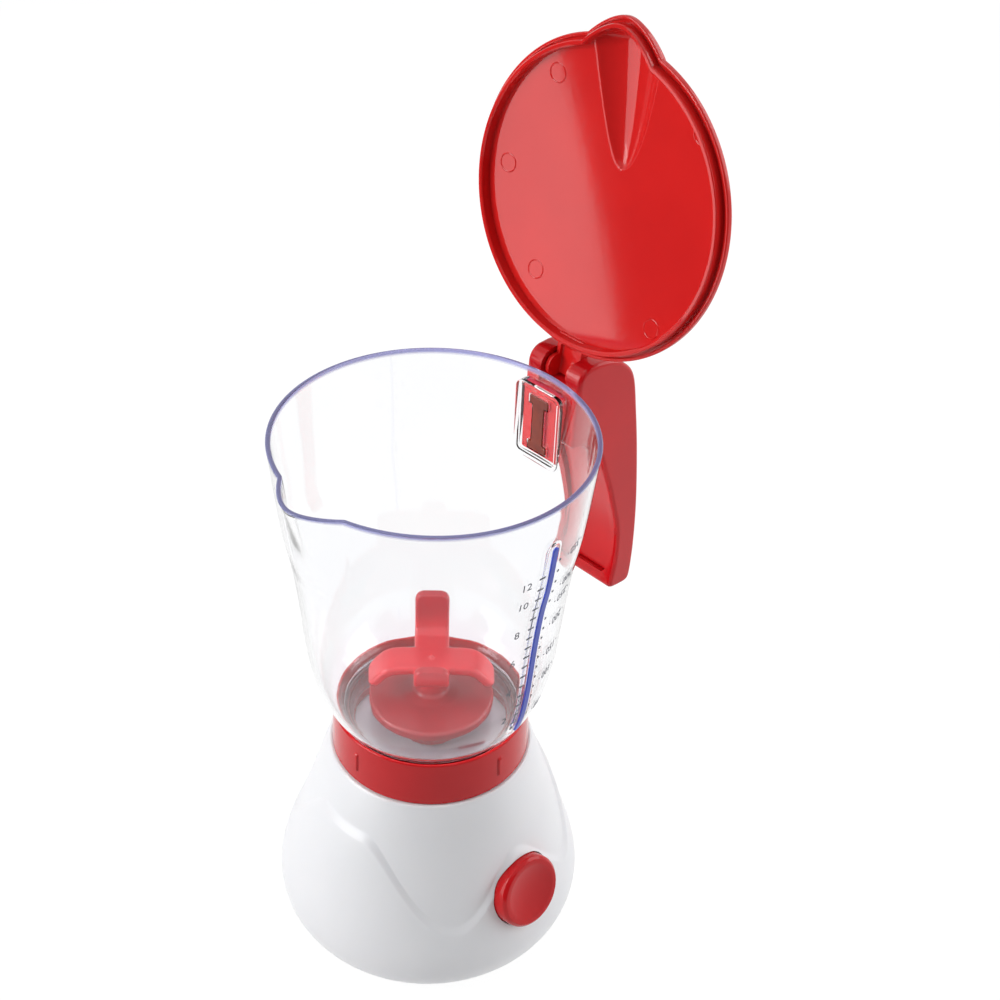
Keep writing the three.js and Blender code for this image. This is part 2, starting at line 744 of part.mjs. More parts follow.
function buildBattery(side) {
  const body = revolve([
    [0, -batteryLength / 2], [batteryRadius - batteryEdge, -batteryLength / 2],
    [batteryRadius, -batteryLength / 2 + batteryEdge], [batteryRadius, batteryLength / 2 - batteryEdge],
    [batteryRadius - batteryEdge, batteryLength / 2], [batteryNubRadius, batteryLength / 2],
    [batteryNubRadius, batteryLength / 2 + batteryNubLength], [0, batteryLength / 2 + batteryNubLength],
  ], mediumSteps);
  const shift = boxLength / 2 - contactInset - gap - batteryNubLength - batteryLength / 2;
  return body.rotateY(side * Math.PI / 2).translate(side * shift, side * batteryPitch / 2, batteryLevel);
}

// A sheet contact against an end wall of the box, with an optional coil
function contact(end, centreY, width, coilY) {
  const [inner, outer] = [boxLength / 2 - contactInset, boxLength / 2 - gap];
  const low = plateThickness + gap;
  const high = low + contactHeight;
  const pieces = [block(inner, outer, centreY - width / 2, centreY + width / 2, low, high)];
  if (coilY !== null) {
    const wire = coil(coilFootRadius, coilTopRadius, coilLength, coilTurns, coilWireRadius);
    pieces.push(wire.rotateY(-Math.PI / 2).translate((inner + outer) / 2, coilY, batteryLevel));
  }
  if (end < 0) {
    const [left, right] = [centreY - contactTabWidth / 2, centreY + contactTabWidth / 2];
    pieces.push(block(inner, outer, left, right, high - overrun, boxTop + contactTabHeight));
  }
  const whole = join(...pieces);
  return end < 0 ? whole.rotateZ(Math.PI) : whole;
}

function gearOutline(teeth) {
  const pitchRadius = toothModule * teeth / 2;
  const tip = pitchRadius + toothModule * addendumShare;
  const root = pitchRadius - toothModule * dedendumShare;
  const pitchAngle = 2 * Math.PI / teeth;
  const halfTooth = pitchAngle * toothThicknessShare / 2;
  const corners = [
    [root, -toothRootShare], [tip, -toothTipShare], [tip, toothTipShare], [root, toothRootShare],
  ];
  return Array.from({ length: teeth }, (_, i) => corners.map(([radius, spread]) => {
    const angle = i * pitchAngle + spread * halfTooth;
    return at(radius * Math.cos(angle), radius * Math.sin(angle));
  })).flat();
}

function gear(teeth, bottom, thickness, bore, turn) {
  const body = extrude(gearOutline(teeth), thickness).translate(0, 0, bottom);
  return cut(body, disc(bore, bottom - overrun, bottom + thickness + overrun, smallSteps)).rotateZ(turn);
}

// The face is thinned between hub and rim, as on moulded gears
function webbedGear(teeth, bottom, bore, turn) {
  const outer = toothModule * (teeth / 2 - dedendumShare) - gearRimWidth;
  const recess = ring(bore + gearHubWall, outer, bottom - overrun, bottom + gearWebRecess);
  return cut(gear(teeth, bottom, gearThickness, bore, turn), recess);
}

function buildMotor() {
  const bottom = motorTop - motorLength;
  const flats = block(
    -motorFlat / 2, motorFlat / 2, -motorRadius, motorRadius, bottom, motorTop + motorBossHeight + overrun,
  );
  const can = common(disc(motorRadius, bottom + motorCapLength, motorTop), flats);
  const cap = common(disc(motorRadius - motorCapInset, bottom, bottom + motorCapLength + overrun), flats);
  const boss = disc(motorBossRadius, motorTop - overrun, motorTop + motorBossHeight, smallSteps);
  const tab = block(
    -switchTabThickness / 2, switchTabThickness / 2, -switchTabWidth / 2, switchTabWidth / 2,
    bottom - switchTabLength / 2, bottom + overrun,
  );
  const bore = disc(
    motorShaftRadius + gap, motorTop - motorShaftDepth, motorTop + motorBossHeight + overrun, smallSteps,
  );
  const screwHole = disc(columnHoleRadius, motorTop - screwLength / 2, motorTop + overrun, tinySteps);
  const body = join(can, cap, boss, ...pair(tab, motorRadius / 2));
  return cut(body, bore, ...pair(screwHole, motorScrewOffset)).translate(-motorDistance, 0, 0);
}

function buildFrame() {
  const [below, above] = [framePlateBottom - overrun, framePlateTop + overrun];
  const plate = disc(framePlateRadius, framePlateBottom, framePlateTop, roundSteps);
  const post = disc(framePostRadius, framePlateTop - overrun, deckUnderside - gap, smallSteps);
  const postHole = disc(columnHoleRadius + gap / 2, below, deckUnderside + overrun, tinySteps);
  const motorHole = disc(motorBossRadius + gap, below, above, smallSteps);
  const motorScrewHole = disc(columnHoleRadius, below, above, tinySteps);
  const atMotor = [motorHole, ...pair(motorScrewHole, motorScrewOffset)]
    .map((hole) => hole.translate(-motorDistance, 0, 0));
  const bushHole = disc(bushOuter + gap, below, above, smallSteps);
  const pinHole = disc(idlerPinRadius + gap, below, above, smallSteps).translate(idlerX, idlerY, 0);
  return cut(
    join(plate, ...around(post, framePostCircle, framePostAngles)),
    ...around(postHole, framePostCircle, framePostAngles), ...atMotor, bushHole, pinHole,
  );
}

function bush(innerRadius, flangeBottom, flangeTop, tubeBottom, tubeTop) {
  const outer = innerRadius + bushWall;
  const flange = disc(outer + bushFlangeWidth, flangeBottom, flangeTop, smallSteps);
  return cut(
    join(disc(outer, tubeBottom, tubeTop, smallSteps), flange),
    disc(innerRadius, tubeBottom - overrun, tubeTop + overrun, smallSteps),
  );
}

// Hubs above and below the teeth keep each gear at its height on its shaft
const hub = (bore, bottom, top) => ring(bore, bore + gearHubWall, bottom, top, smallSteps);

function buildIdler() {
  const bore = idlerPinRadius + gap;
  const largeTop = idlerBottom + gearThickness;
  const large = webbedGear(idlerTeeth, idlerBottom, bore, towardsMotor + Math.PI / idlerTeeth);
  const small = gear(
    idlerPinionTeeth, largeTop - gap, gearThickness + gearFaceGap + 2 * gap, bore, towardsDrive,
  );
  const hubs = [
    hub(bore, framePlateTop + gap, idlerBottom + gearThickness / 2),
    hub(bore, largeTop + gearThickness / 2, deckUnderside - gap),
  ];
  return join(large, small, ...hubs).translate(idlerX, idlerY, 0);
}

function buildDriveGear() {
  const bore = driveShaftRadius + gap;
  const turn = towardsDrive + Math.PI + Math.PI / driveTeeth;
  const wheel = webbedGear(driveTeeth, driveGearBottom, bore, turn);
  const hubBottom = framePlateTop + 2 * gap + bushFlangeHeight;
  return join(wheel, hub(bore, hubBottom, deckUnderside - bushRise - gap));
}

function buildDog() {
  const top = dogBottom + dogHeight;
  const hub = disc(dogHubRadius, dogBottom, top, mediumSteps);
  const vane = block(-dogVaneReach, dogVaneReach, -dogVaneWidth / 2, dogVaneWidth / 2, dogBottom, top - gap);
  const bore = disc(driveShaftRadius + gap, dogBottom - overrun, top - overrun, smallSteps);
  return cut(join(hub, vane, vane.clone().rotateZ(Math.PI / 2)), bore);
}

function buildCoupler() {
  const cup = disc(couplerRadius, couplerBottom, couplerTop);
  const room = disc(couplerRadius - couplerWall, couplerBottom - overrun, couplerTop - couplerPlate);
  const vane = block(
    couplerVaneInset, couplerRadius - couplerWall / 2, -dogVaneWidth / 2, dogVaneWidth / 2,
    couplerBottom, couplerTop - couplerPlate / 2,
  );
  const vanes = couplerVaneAngles.map((angle) => vane.clone().rotateZ(angle * degree));
  const bore = disc(bladeShaftRadius + gap, couplerBottom, couplerTop + overrun, smallSteps);
  return cut(join(cut(cup, room), ...vanes), bore);
}

function buildButton() {
  const sphereRadius = (buttonDishRadius ** 2 + buttonDish ** 2) / (2 * buttonDish);
  const dish = Array.from({ length: dishSteps + 1 }, (_, i) => {
    const r = buttonDishRadius * i / dishSteps;
    return [r, sphereRadius - buttonDish - Math.sqrt(sphereRadius ** 2 - r ** 2)];
  });
  return revolve([
    [0, -buttonTop], [buttonRadius - buttonWall, -buttonTop], [buttonRadius - buttonWall, -buttonDepth],
    [buttonRadius + buttonFlange, -buttonDepth],
    [buttonRadius + buttonFlange, -buttonDepth + buttonFlangeHeight],
    [buttonRadius, -buttonDepth + buttonFlangeHeight], [buttonRadius, -buttonRimHeight - buttonRimHeight],
    [buttonRimRadius, -gap], [buttonRimRadius - buttonRimHeight, 0], ...dish.reverse(),
  ], mediumSteps);
}

// The plunger rises from the switch to meet the stem under the button
const plungerTop = -buttonDepth - 2 * gap;
const switchTop = -switchPlateDepth - switchPlateThickness - gap;

function buildButtonWithStem() {
  const stem = disc(buttonStemRadius, plungerTop + gap, -buttonTop + overrun, smallSteps);
  return join(buildButton(), stem);
}

function buildSwitchPlate() {
  const bottom = -switchPlateDepth - switchPlateThickness;
  const plate = disc(buttonBossOuter, bottom, -switchPlateDepth, mediumSteps);
  const ears = [1, -1].map((side) => switchEar(side, bottom, -switchPlateDepth));
  const earHoles = [1, -1].map((side) => switchEarHole(
    side, screwShankRadius + gap, bottom - overrun, overrun - switchPlateDepth,
  ));
  const seatRadius = springRadius + springWireRadius + gap;
  const seat = ring(
    seatRadius, seatRadius + 2 * springWireRadius, -switchPlateDepth - gap, -switchPlateDepth + overrun,
  );
  const hole = disc(switchPlungerRadius + gap, bottom - overrun, -switchPlateDepth + overrun, smallSteps);
  return cut(join(plate, ...ears, seat), ...earHoles, hole);
}

function buildSwitchBody() {
  const bottom = switchTop - switchBodyHeight;
  const body = block(
    -switchBodyLength / 2, switchBodyLength / 2, -switchBodyWidth / 2, switchBodyWidth / 2, bottom, switchTop,
  );
  const tab = block(
    -switchTabWidth / 2, switchTabWidth / 2, -switchTabThickness / 2, switchTabThickness / 2,
    bottom - switchTabLength, bottom + overrun,
  );
  const tabs = [1, -1].map((side) => tab.clone().translate(side * switchTabPitch / 2, 0, 0));
  const wellBottom = switchTop - buttonTravel - 2 * gap - overrun;
  const well = disc(switchPlungerRadius + gap, wellBottom, switchTop + overrun, smallSteps);
  return cut(join(body, ...tabs), well);
}

// Straight-sided lines meeting a rounded tip, for the spout and the lid's beak
function beak(angle, reach) {
  const share = Math.abs(angle - 180) / spoutHalfAngle;
  if (share >= 1) return 0;
  const full = Math.sqrt(1 + spoutTipShare ** 2);
  return reach * (full - Math.sqrt(share ** 2 + spoutTipShare ** 2)) / (full - spoutTipShare);
}

// Angles round an outline with a beak, closer together at the beak
function beakAngles(steps) {
  const [from, span] = [180 - spoutHalfAngle, 2 * spoutHalfAngle];
  const tip = Array.from({ length: beakSteps }, (_, i) => from + span * i / beakSteps);
  const plain = Array.from({ length: steps }, (_, i) => from + span + (360 - span) * i / steps);
  return [...tip, ...plain];
}

const jugAngles = beakAngles(jugSteps);
const lidAngles = beakAngles(lidSteps);

function jugRing(z, inset) {
  const spoutShare = Math.max(0, (z - rimHeight + spoutDepth) / spoutDepth);
  return jugAngles.map((angle) => polar(
    jugRadiusAt(z) + beak(angle, spoutReach * spoutShare ** spoutCurvePower) - inset, angle, z,
  ));
}

function jugStretch(inset, bottom, top) {
  const heights = jugRowShares.map((share) => jugFoot + share * jugHeight)
    .filter((z) => z > bottom + gap && z < top - gap);
  return loft([bottom, ...heights, top].map((z) => jugRing(Math.min(z, rimHeight), inset)
    .map((p) => at3(p.x, p.y, z))));
}

// A strip that follows the jug's wall, between two heights and two distances off it
function wallStrip(width, from, to, bottom, top) {
  const rows = profileRows;
  const heights = Array.from({ length: rows + 1 }, (_, i) => bottom + (top - bottom) * i / rows);
  const sideAt = (z, off) => at(jugRadiusAt(z) + off, z);
  const outline = [...heights.map((z) => sideAt(z, to)), ...heights.reverse().map((z) => sideAt(z, from))];
  return extrudeAcross(outline, width).rotateZ(stripAngle * degree);
}

function slotShape() {
  const middle = (pocketBottom + pocketTop) / 2;
  const through = [pocketInnerX - pocketBorderProud - overrun, pocketInnerX + pocketWall + overrun];
  const stem = block(
    ...through, -slotWidth / 2, slotWidth / 2, middle - slotHeight / 2, middle + slotHeight / 2,
  );
  const ends = [1, -1].map((side) => {
    const centre = middle + side * (slotHeight - slotEndHeight) / 2;
    const [low, high] = [centre - slotEndHeight / 2, centre + slotEndHeight / 2];
    return block(...through, -slotEndWidth / 2, slotEndWidth / 2, low, high);
  });
  return join(stem, ...ends);
}

function buildJug() {
  const outer = jugStretch(0, jugFoot, rimHeight);
  const inner = jugStretch(jugWall, jugFloorTop, rimHeight + overrun);
  const neckRoom = disc(neckRadius - jugWall, jugFoot - overrun, jugFloorBottom, roundSteps);
  const floorHole = disc(bushOuter + gap, jugFloorBottom - overrun, jugFloorTop + overrun, smallSteps);
  const vessel = cut(outer, inner, neckRoom, floorHole);
  const roomWidth = stripWidth + 2 * gap;
  const [roomBottom, roomTop] = [stripBottom - gap, stripTop + gap];
  const channel = wallStrip(
    roomWidth + 2 * channelWall, -jugWall / 2, channelProud, roomBottom - channelWall, roomTop + channelWall,
  );
  const stripRoom = wallStrip(roomWidth, 0, channelProud + overrun, roomBottom, roomTop);
  const [halfWidth, innerHalf] = [pocketHalfWidth, pocketHalfWidth - pocketBorder];
  const borderX = pocketInnerX - pocketBorderProud;
  const pocketBody = block(pocketInnerX, rimRadius, -halfWidth, halfWidth, pocketBottom, pocketTop);
  const borderFrame = cut(
    block(borderX, pocketInnerX + overrun, -halfWidth, halfWidth, pocketBottom, pocketTop),
    block(
      borderX - overrun, pocketInnerX, -innerHalf, innerHalf,
      pocketBottom + pocketBorder, pocketTop - pocketBorder,
    ),
  );
  const pocket = join(common(pocketBody, outer), borderFrame);
  const pocketRoom = block(
    pocketInnerX + pocketWall, rimRadius + overrun, pocketWall - halfWidth, halfWidth - pocketWall,
    pocketBottom + pocketWall, pocketTop - pocketWall,
  );
  return cut(join(vessel, channel, pocket), stripRoom, pocketRoom, slotShape());
}

function buildStrip() {
  return wallStrip(stripWidth, gap, stripProud, stripBottom, stripTop);
}

function armOutline(points) {
  const path = smooth(points, curveSteps);
  return band(path, -armThickness / 2, armThickness / 2);
}

function buildBlade() {
  const discTop = discBottom + discThickness;
  const body = revolve([
    [discWall * 3, discBottom], [hubRadius, discBottom], [hubRadius, discTop - discWall],
    [discRadius - discWall, discTop - discWall], [discRadius - discWall, discBottom],
    [discRadius, discBottom], [discRadius, discTop - discWall / 2], [discRadius - discWall / 2, discTop],
    [hubRadius + discWall, discTop + discCrown], [hubRadius, discTop + discCrown + discWall],
    [hubRadius, hubTop - discWall / 2], [hubRadius - discWall / 2, hubTop], [0, hubTop],
    [0, discBottom + discThickness], [discWall * 3, discBottom + discThickness], [discWall * 3, discBottom],
  ], bladeSteps);
  const droop = extrudeAcross(armOutline([
    at(0, armLevel), at(droopReach / 3, armLevel), at(droopReach * 2 / 3, armLevel - armThickness / 3),
    at(droopReach - armThickness / 2, droopTipLevel),
  ]), armWidth);
  const up = extrudeAcross(armOutline([
    at(0, armLevel), at(upReach - armThickness / 2 - armBendRadius, armLevel),
    at(upReach - armThickness, armLevel + armBendRadius / 4),
    at(upReach - armThickness / 2, armLevel + armBendRadius),
    at(upReach - armThickness / 2, upTipLevel),
  ]), armWidth);
  const arms = [
    ...droopAngles.map((angle) => droop.clone().rotateZ(angle * degree)),
    ...upAngles.map((angle) => up.clone().rotateZ(angle * degree)),
  ];
  const bore = disc(bladeShaftRadius + gap, discBottom - overrun, bladeShaftTop + gap, smallSteps);
  return cut(join(body, ...arms), bore);
}

// Handle outline in X and Z
const handleAt = ([x, z]) => at(handleFaceX + x * handleReach, handleTop - z * handleDrop);
const handleOuter = smooth(handleOuterShares.map(handleAt), handleOuterSteps);
const handleInner = smooth(handleInnerShares.map(handleAt), handleInnerSteps);

function handleOutline() {
  const round = handleTop - hingeZ;
  const ear = Array.from({ length: earSteps + 1 }, (_, i) => {
    const angle = Math.PI - Math.PI * i / earSteps / 2;
    return at(hingeX + round * Math.cos(angle), hingeZ + round * Math.sin(angle));
  });
  return [
    at(handleFaceX, handleTop - handleFaceFootShare * handleDrop), ...ear,
    ...handleShoulderShares.map(handleAt).reverse(), ...handleOuter,
    ...handleFootShares.map(handleAt), ...handleInner,
  ];
}

function panelCurve(extra) {
  const curve = new THREE.SplineCurve(handleInner);
  const span = panelToShare - panelFromShare - 2 * extra;
  return Array.from({ length: profileRows + 1 }, (_, i) => curve.getPoint(
    panelFromShare + extra + span * i / profileRows,
  ));
}

function buildHandle() {
  const grip = extrudeAcross(handleOutline(), handleWidth, handleRound);
  const outerLine = offset(handleOuter.slice(2, -2), -handleWall);
  const innerLine = offset(handleInner.slice(1, -4), -handleWall);
  const cavity = extrudeAcross([...outerLine, ...innerLine], 2 * (panelHalfWidth - coverLedge));
  const panelBottom = -panelDepth - coverThickness - gap;
  const panel = extrudeAcross(band(panelCurve(0), overrun, panelBottom), 2 * panelHalfWidth);
  const armSlot = block(
    handleFaceX - overrun, hingeX + armSlotDepth, -armHalfWidth - gap, armHalfWidth + gap,
    hingeZ - barrelRadius - gap, handleTop + overrun,
  );
  const stubReach = armHalfWidth + stubLength + gap;
  const stubHoles = disc(stubRadius + gap, -stubReach, stubReach, smallSteps)
    .rotateX(Math.PI / 2).translate(hingeX, 0, hingeZ);
  const tongueInner = pocketInnerX + pocketWall + gap;
  const tongueLow = pocketBottom + pocketWall + gap;
  const tongueHigh = pocketTop - pocketWall - gap;
  const tongue = block(
    tongueInner, tongueInner + tongueThickness, -tongueHalfWidth, tongueHalfWidth, tongueLow, tongueHigh,
  );
  const neckLow = handleTop - handleFaceFootShare * handleDrop + handleRound;
  const neck = block(
    tongueInner + tongueThickness / 2, handleFaceX + handleRound * 2, -tongueHalfWidth, tongueHalfWidth,
    neckLow, tongueHigh,
  );
  const middle = (pocketBottom + pocketTop) / 2;
  const hook = block(
    tongueInner - hookReach, tongueInner + overrun, -hookThickness / 2, hookThickness / 2,
    middle - hookHeight / 2, middle + hookHeight / 2,
  );
  const solid = join(grip, tongue, neck, hook);
  return cut(solid, cavity, panel, armSlot, stubHoles);
}

function buildHandleCover() {
  const ends = gap / handleDrop;
  const line = panelCurve(ends);
  return extrudeAcross(band(line, -panelDepth, -panelDepth - coverThickness), 2 * (panelHalfWidth - gap));
}

// Lid, modelled shut over the jug and turned open about the hinge by its group
function lidRing(z, inset) {
  return lidAngles.map((angle) => polar(lidRadius + beak(angle, lidBeakReach) - inset, angle, z));
}

function buildLid() {
  const top = lidSeat + lidFlange;
  const plate = loft([
    lidRing(lidSeat, lidEdgeRound / 2), lidRing(lidSeat + lidEdgeRound / 2, 0),
    lidRing(top - lidEdgeRound, 0), lidRing(top, lidEdgeRound),
    lidRing(top + lidCrown / 2, lidRadius / 4), lidRing(top + lidCrown, lidRadius / 2),
  ]);
  const rimX = -(lidRadius + lidBeakReach);
  const tipX = rimX + lidBeakReach + spineLength + spineTipInset;
  const cone = (wall) => {
    const length = tipX + wall - rimX;
    return new THREE.ConeGeometry(1, 1, mediumSteps).rotateZ(-Math.PI / 2).translate(-1 / 2, 0, 0)
      .scale(length, spineHalfWidth + wall, spineHeight + wall).translate(tipX + wall, 0, lidSeat);
  };
  // The spine's front leans back from the beak, and so does its hollow
  const leaning = (foot, inset) => loft([
    lidRing(foot, inset), lidRing(top, inset), lidRing(lidSeat + spineHeight + spineWall, inset + spineSlope),
  ]);
  const spine = common(cone(spineWall), leaning(lidSeat, lidEdgeRound / 2));
  const hollow = common(cone(0), leaning(lidSeat - overrun, lipInset + lipThickness));
  const straight = (inset, bottom, end) => loft([lidRing(bottom, inset), lidRing(end, inset)]);
  const lip = cut(
    straight(lipInset, lidSeat - lipDepth, lidSeat + lipInset / 2),
    straight(lipInset + lipThickness, lidSeat - lipDepth - overrun, lidSeat + overrun),
  );
  const groove = cut(
    straight(lipInset - grooveWidth, lidSeat - overrun, lidSeat + grooveDepth),
    straight(lipInset, lidSeat - lipDepth, lidSeat + grooveDepth + overrun),
  );
  const armStart = lidRadius - armOverlap;
  const arm = join(
    block(armStart, hingeX, -armHalfWidth, armHalfWidth, lidSeat, top + lidCrown / 2),
    disc(barrelRadius, -armHalfWidth, armHalfWidth).rotateX(Math.PI / 2).translate(hingeX, 0, hingeZ),
  );
  const channel = block(
    lidRadius - overrun / 2, hingeX + barrelRadius + overrun, -armHalfWidth + armWall, armHalfWidth - armWall,
    hingeZ - barrelRadius - overrun, top + lidCrown / 2 - armWeb,
  );
  const stubs = disc(stubRadius, -armHalfWidth - stubLength, armHalfWidth + stubLength, smallSteps)
    .rotateX(Math.PI / 2).translate(hingeX, 0, hingeZ);
  const stubGap = block(
    hingeX - barrelRadius, hingeX + barrelRadius, -armHalfWidth + armWall, armHalfWidth - armWall,
    hingeZ - barrelRadius, hingeZ + barrelRadius,
  );
  const body = join(cut(join(plate, spine), hollow, groove), lip);
  return join(body, cut(join(arm, stubs), channel, stubGap));
}

// Wires: each a hand-chosen route through the housing
const switchTabPoint = (side) => at3(
  side * switchTabPitch / 2, 0, switchTop - switchBodyHeight - switchTabLength - wireRadius - gap,
).applyMatrix4(buttonPlace);
const contactTabPoint = (side) => at3(
  -boxLength / 2 + contactInset - contactThickness / 2, side * batteryPitch / 2,
  boxTop + contactTabHeight + wireRadius + gap,
);
const motorTabPoint = (side) => at3(
  -motorDistance, side * motorRadius / 2, motorTop - motorLength - switchTabLength / 2 - wireRadius - gap,
);

function wire(start, shares, end) {
  const middle = shares.map(([x, y, z]) => at3(x * baseRadius, y * baseRadius, z * baseHeight));
  return tube([start, ...middle, end], wireRadius, wireSides, wireSteps);
}

// Scene graph
const fromBelow = (geometry, x, y, z) => geometry.rotateX(Math.PI).translate(x, y, z);

function piece(parent, name, geometry, material) {
  const solid = toGeometry(toManifold(geometry).simplify(flatTolerance));
  solid.computeVertexNormals();
  const mesh = new THREE.Mesh(solid, material);
  mesh.name = name;
  parent.add(mesh);
  return mesh;
}

// Several alike, numbered from one
function pieces(parent, name, geometries, material) {
  geometries.forEach((geometry, i) => piece(parent, `${name}_${i + 1}`, geometry, material()));
}

const blender = new THREE.Group();
const base = new THREE.Group();
const jug = new THREE.Group();
blender.add(base, jug);

piece(base, 'base_shell', buildHousing(), whitePlastic());
piece(base, 'collar_ring', buildCollar(), redPlastic());
piece(base, 'base_plate', buildBasePlate(), whitePlastic());
piece(base, 'battery_door', buildDoor(), whitePlastic());
piece(base, 'battery_door_screw', fromBelow(screw(screwLength / 2), doorEarReach, 0, gap), steel());
pieces(base, 'base_screw', around(
  fromBelow(screw(screwLength), 0, 0, gap), columnCircle, columnAngles,
), steel);
piece(base, 'front_battery', buildBattery(-1), batteryGreen());
piece(base, 'rear_battery', buildBattery(1), batteryGreen());
piece(base, 'contact_bridge', contact(1, 0, batteryPitch + contactWidth, -batteryPitch / 2), steel());
piece(base, 'contact_plus', contact(-1, batteryPitch / 2, contactWidth, null), steel());
piece(base, 'contact_minus', contact(-1, -batteryPitch / 2, contactWidth, -batteryPitch / 2), steel());

// Gearbox and motor
piece(base, 'gearbox_frame', buildFrame(), nylon());
pieces(base, 'gearbox_screw', around(
  fromBelow(screw(frameScrewLength), 0, 0, framePlateBottom - gap - screwHeadHeight),
  framePostCircle, framePostAngles,
), steel);
piece(base, 'motor', buildMotor(), steel());
pieces(base, 'motor_screw', pair(
  screw(motorScrewLength).translate(-motorDistance, 0, framePlateTop + gap + screwHeadHeight),
  motorScrewOffset,
), steel);
piece(base, 'motor_shaft', disc(motorShaftRadius, motorTop - motorShaftDepth + gap, pinionTop, smallSteps)
  .translate(-motorDistance, 0, 0), steel());
piece(base, 'motor_pinion', gear(
  pinionTeeth, idlerBottom - gap, gearThickness + 2 * gap, motorShaftRadius + gap, towardsMotor + Math.PI,
).translate(-motorDistance, 0, 0), brass());
piece(base, 'idler_pin', disc(idlerPinRadius, framePlateBottom, deckUnderside - gap, smallSteps)
  .translate(idlerX, idlerY, 0), steel());
piece(base, 'idler_gear', buildIdler(), nylon());
piece(base, 'drive_gear', buildDriveGear(), nylon());
piece(base, 'drive_shaft', disc(
  driveShaftRadius, framePlateBottom, dogBottom + dogHeight - overrun - gap, smallSteps,
), steel());
piece(base, 'lower_bush', bush(
  driveShaftRadius + gap, framePlateTop + gap, framePlateTop + gap + bushFlangeHeight,
  framePlateBottom, framePlateTop + gap + bushFlangeHeight,
), brass());
piece(base, 'upper_bush', bush(
  driveShaftRadius + gap, baseHeight + gap, baseHeight + gap + bushFlangeHeight,
  deckUnderside - bushRise, baseHeight + gap + bushFlangeHeight,
), brass());
piece(base, 'drive_dog', buildDog(), redPlastic());

// Button and switch on their tilted axis
const buttonGroup = new THREE.Group();
buttonGroup.position.set(0, -buttonFaceReach, buttonFaceHeight);
buttonGroup.rotation.x = (90 - buttonTilt) * degree;
base.add(buttonGroup);
piece(buttonGroup, 'button', buildButtonWithStem(), redPlastic());
piece(buttonGroup, 'button_spring', coil(
  springRadius, springRadius, switchPlateDepth - buttonTop - 2 * gap, springTurns, springWireRadius,
).translate(0, 0, gap - switchPlateDepth), steel());
piece(buttonGroup, 'switch_plunger', disc(
  switchPlungerRadius, switchTop - overrun, plungerTop, smallSteps,
), blackPlastic());
piece(buttonGroup, 'switch_plate', buildSwitchPlate(), nylon());
pieces(buttonGroup, 'switch_screw', [1, -1].map((side) => fromBelow(
  screw(screwLength / 2), side * switchEarReach, 0, switchTop - screwHeadHeight,
)), steel);
piece(buttonGroup, 'switch', buildSwitchBody(), blackPlastic());

// Wires from battery to switch, switch to motor and motor to battery
piece(base, 'wire_red', wire(contactTabPoint(-1), redWireShares, switchTabPoint(-1)), wireColour(0xb3202a));
piece(base, 'wire_yellow', wire(
  switchTabPoint(1), yellowWireShares, motorTabPoint(-1),
), wireColour(0xd9b52c));
piece(base, 'wire_black', wire(contactTabPoint(1), blackWireShares, motorTabPoint(1)), wireColour(0x18181a));

// Jug and what it carries
piece(jug, 'jug_body', buildJug(), clearPlastic());
piece(jug, 'level_strip', buildStrip(), bluePlastic());
piece(jug, 'handle_shell', buildHandle(), redPlastic());
piece(jug, 'handle_cover', buildHandleCover(), redPlastic());
piece(jug, 'jug_bush', bush(
  bladeShaftRadius + gap, jugFloorBottom - gap - bushFlangeHeight, jugFloorBottom - gap,
  jugFloorBottom - gap - bushFlangeHeight, jugFloorTop + bushRise,
), nylon());
piece(jug, 'blade_rotor', buildBlade(), bladePlastic());
piece(jug, 'blade_shaft', disc(
  bladeShaftRadius, couplerTop - couplerPlate + gap, bladeShaftTop, smallSteps,
), steel());
piece(jug, 'shaft_seal', ring(
  bladeShaftRadius + gap, 3 * discWall - 2 * gap,
  jugFloorTop + bushRise + gap, discBottom + discThickness - overrun, smallSteps,
), rubber());
piece(jug, 'jug_coupler', buildCoupler(), redPlastic());

// The lid stands open, turned past upright about its stub pins
const lidGroup = new THREE.Group();
lidGroup.position.set(hingeX, 0, hingeZ);
lidGroup.rotation.y = lidOpenAngle * degree;
jug.add(lidGroup);
piece(lidGroup, 'lid', buildLid().translate(-hingeX, 0, -hingeZ), redPlastic());

export default blender;
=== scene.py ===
import json
import math

import bmesh
import bpy
import numpy as np
from mathutils import Matrix, Vector


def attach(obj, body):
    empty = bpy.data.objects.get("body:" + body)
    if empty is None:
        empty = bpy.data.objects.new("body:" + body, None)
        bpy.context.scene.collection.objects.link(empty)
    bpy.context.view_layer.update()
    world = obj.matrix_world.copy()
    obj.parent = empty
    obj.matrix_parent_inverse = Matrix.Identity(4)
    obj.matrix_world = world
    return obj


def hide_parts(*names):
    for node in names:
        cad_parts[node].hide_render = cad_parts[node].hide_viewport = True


# Toy blender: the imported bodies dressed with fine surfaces.
# Sizes in the dictionaries are millimetres, except the studio's, meshes are metres, +Z is up.
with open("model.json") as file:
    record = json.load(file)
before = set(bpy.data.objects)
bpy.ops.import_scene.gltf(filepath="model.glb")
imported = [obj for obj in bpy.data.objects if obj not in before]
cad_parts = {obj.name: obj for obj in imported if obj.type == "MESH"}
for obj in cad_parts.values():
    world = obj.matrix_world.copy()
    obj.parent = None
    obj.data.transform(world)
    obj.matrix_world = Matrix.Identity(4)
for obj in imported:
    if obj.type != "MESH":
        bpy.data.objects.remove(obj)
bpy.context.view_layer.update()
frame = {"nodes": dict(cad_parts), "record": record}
nodes = frame["nodes"]
scene = bpy.context.scene
mm = 0.001
print("frame loaded:", len(nodes), "packed parts")


def placed(name, data):
    # a new object in the scene
    thing = bpy.data.objects.new(name, data)
    scene.collection.objects.link(thing)
    return thing


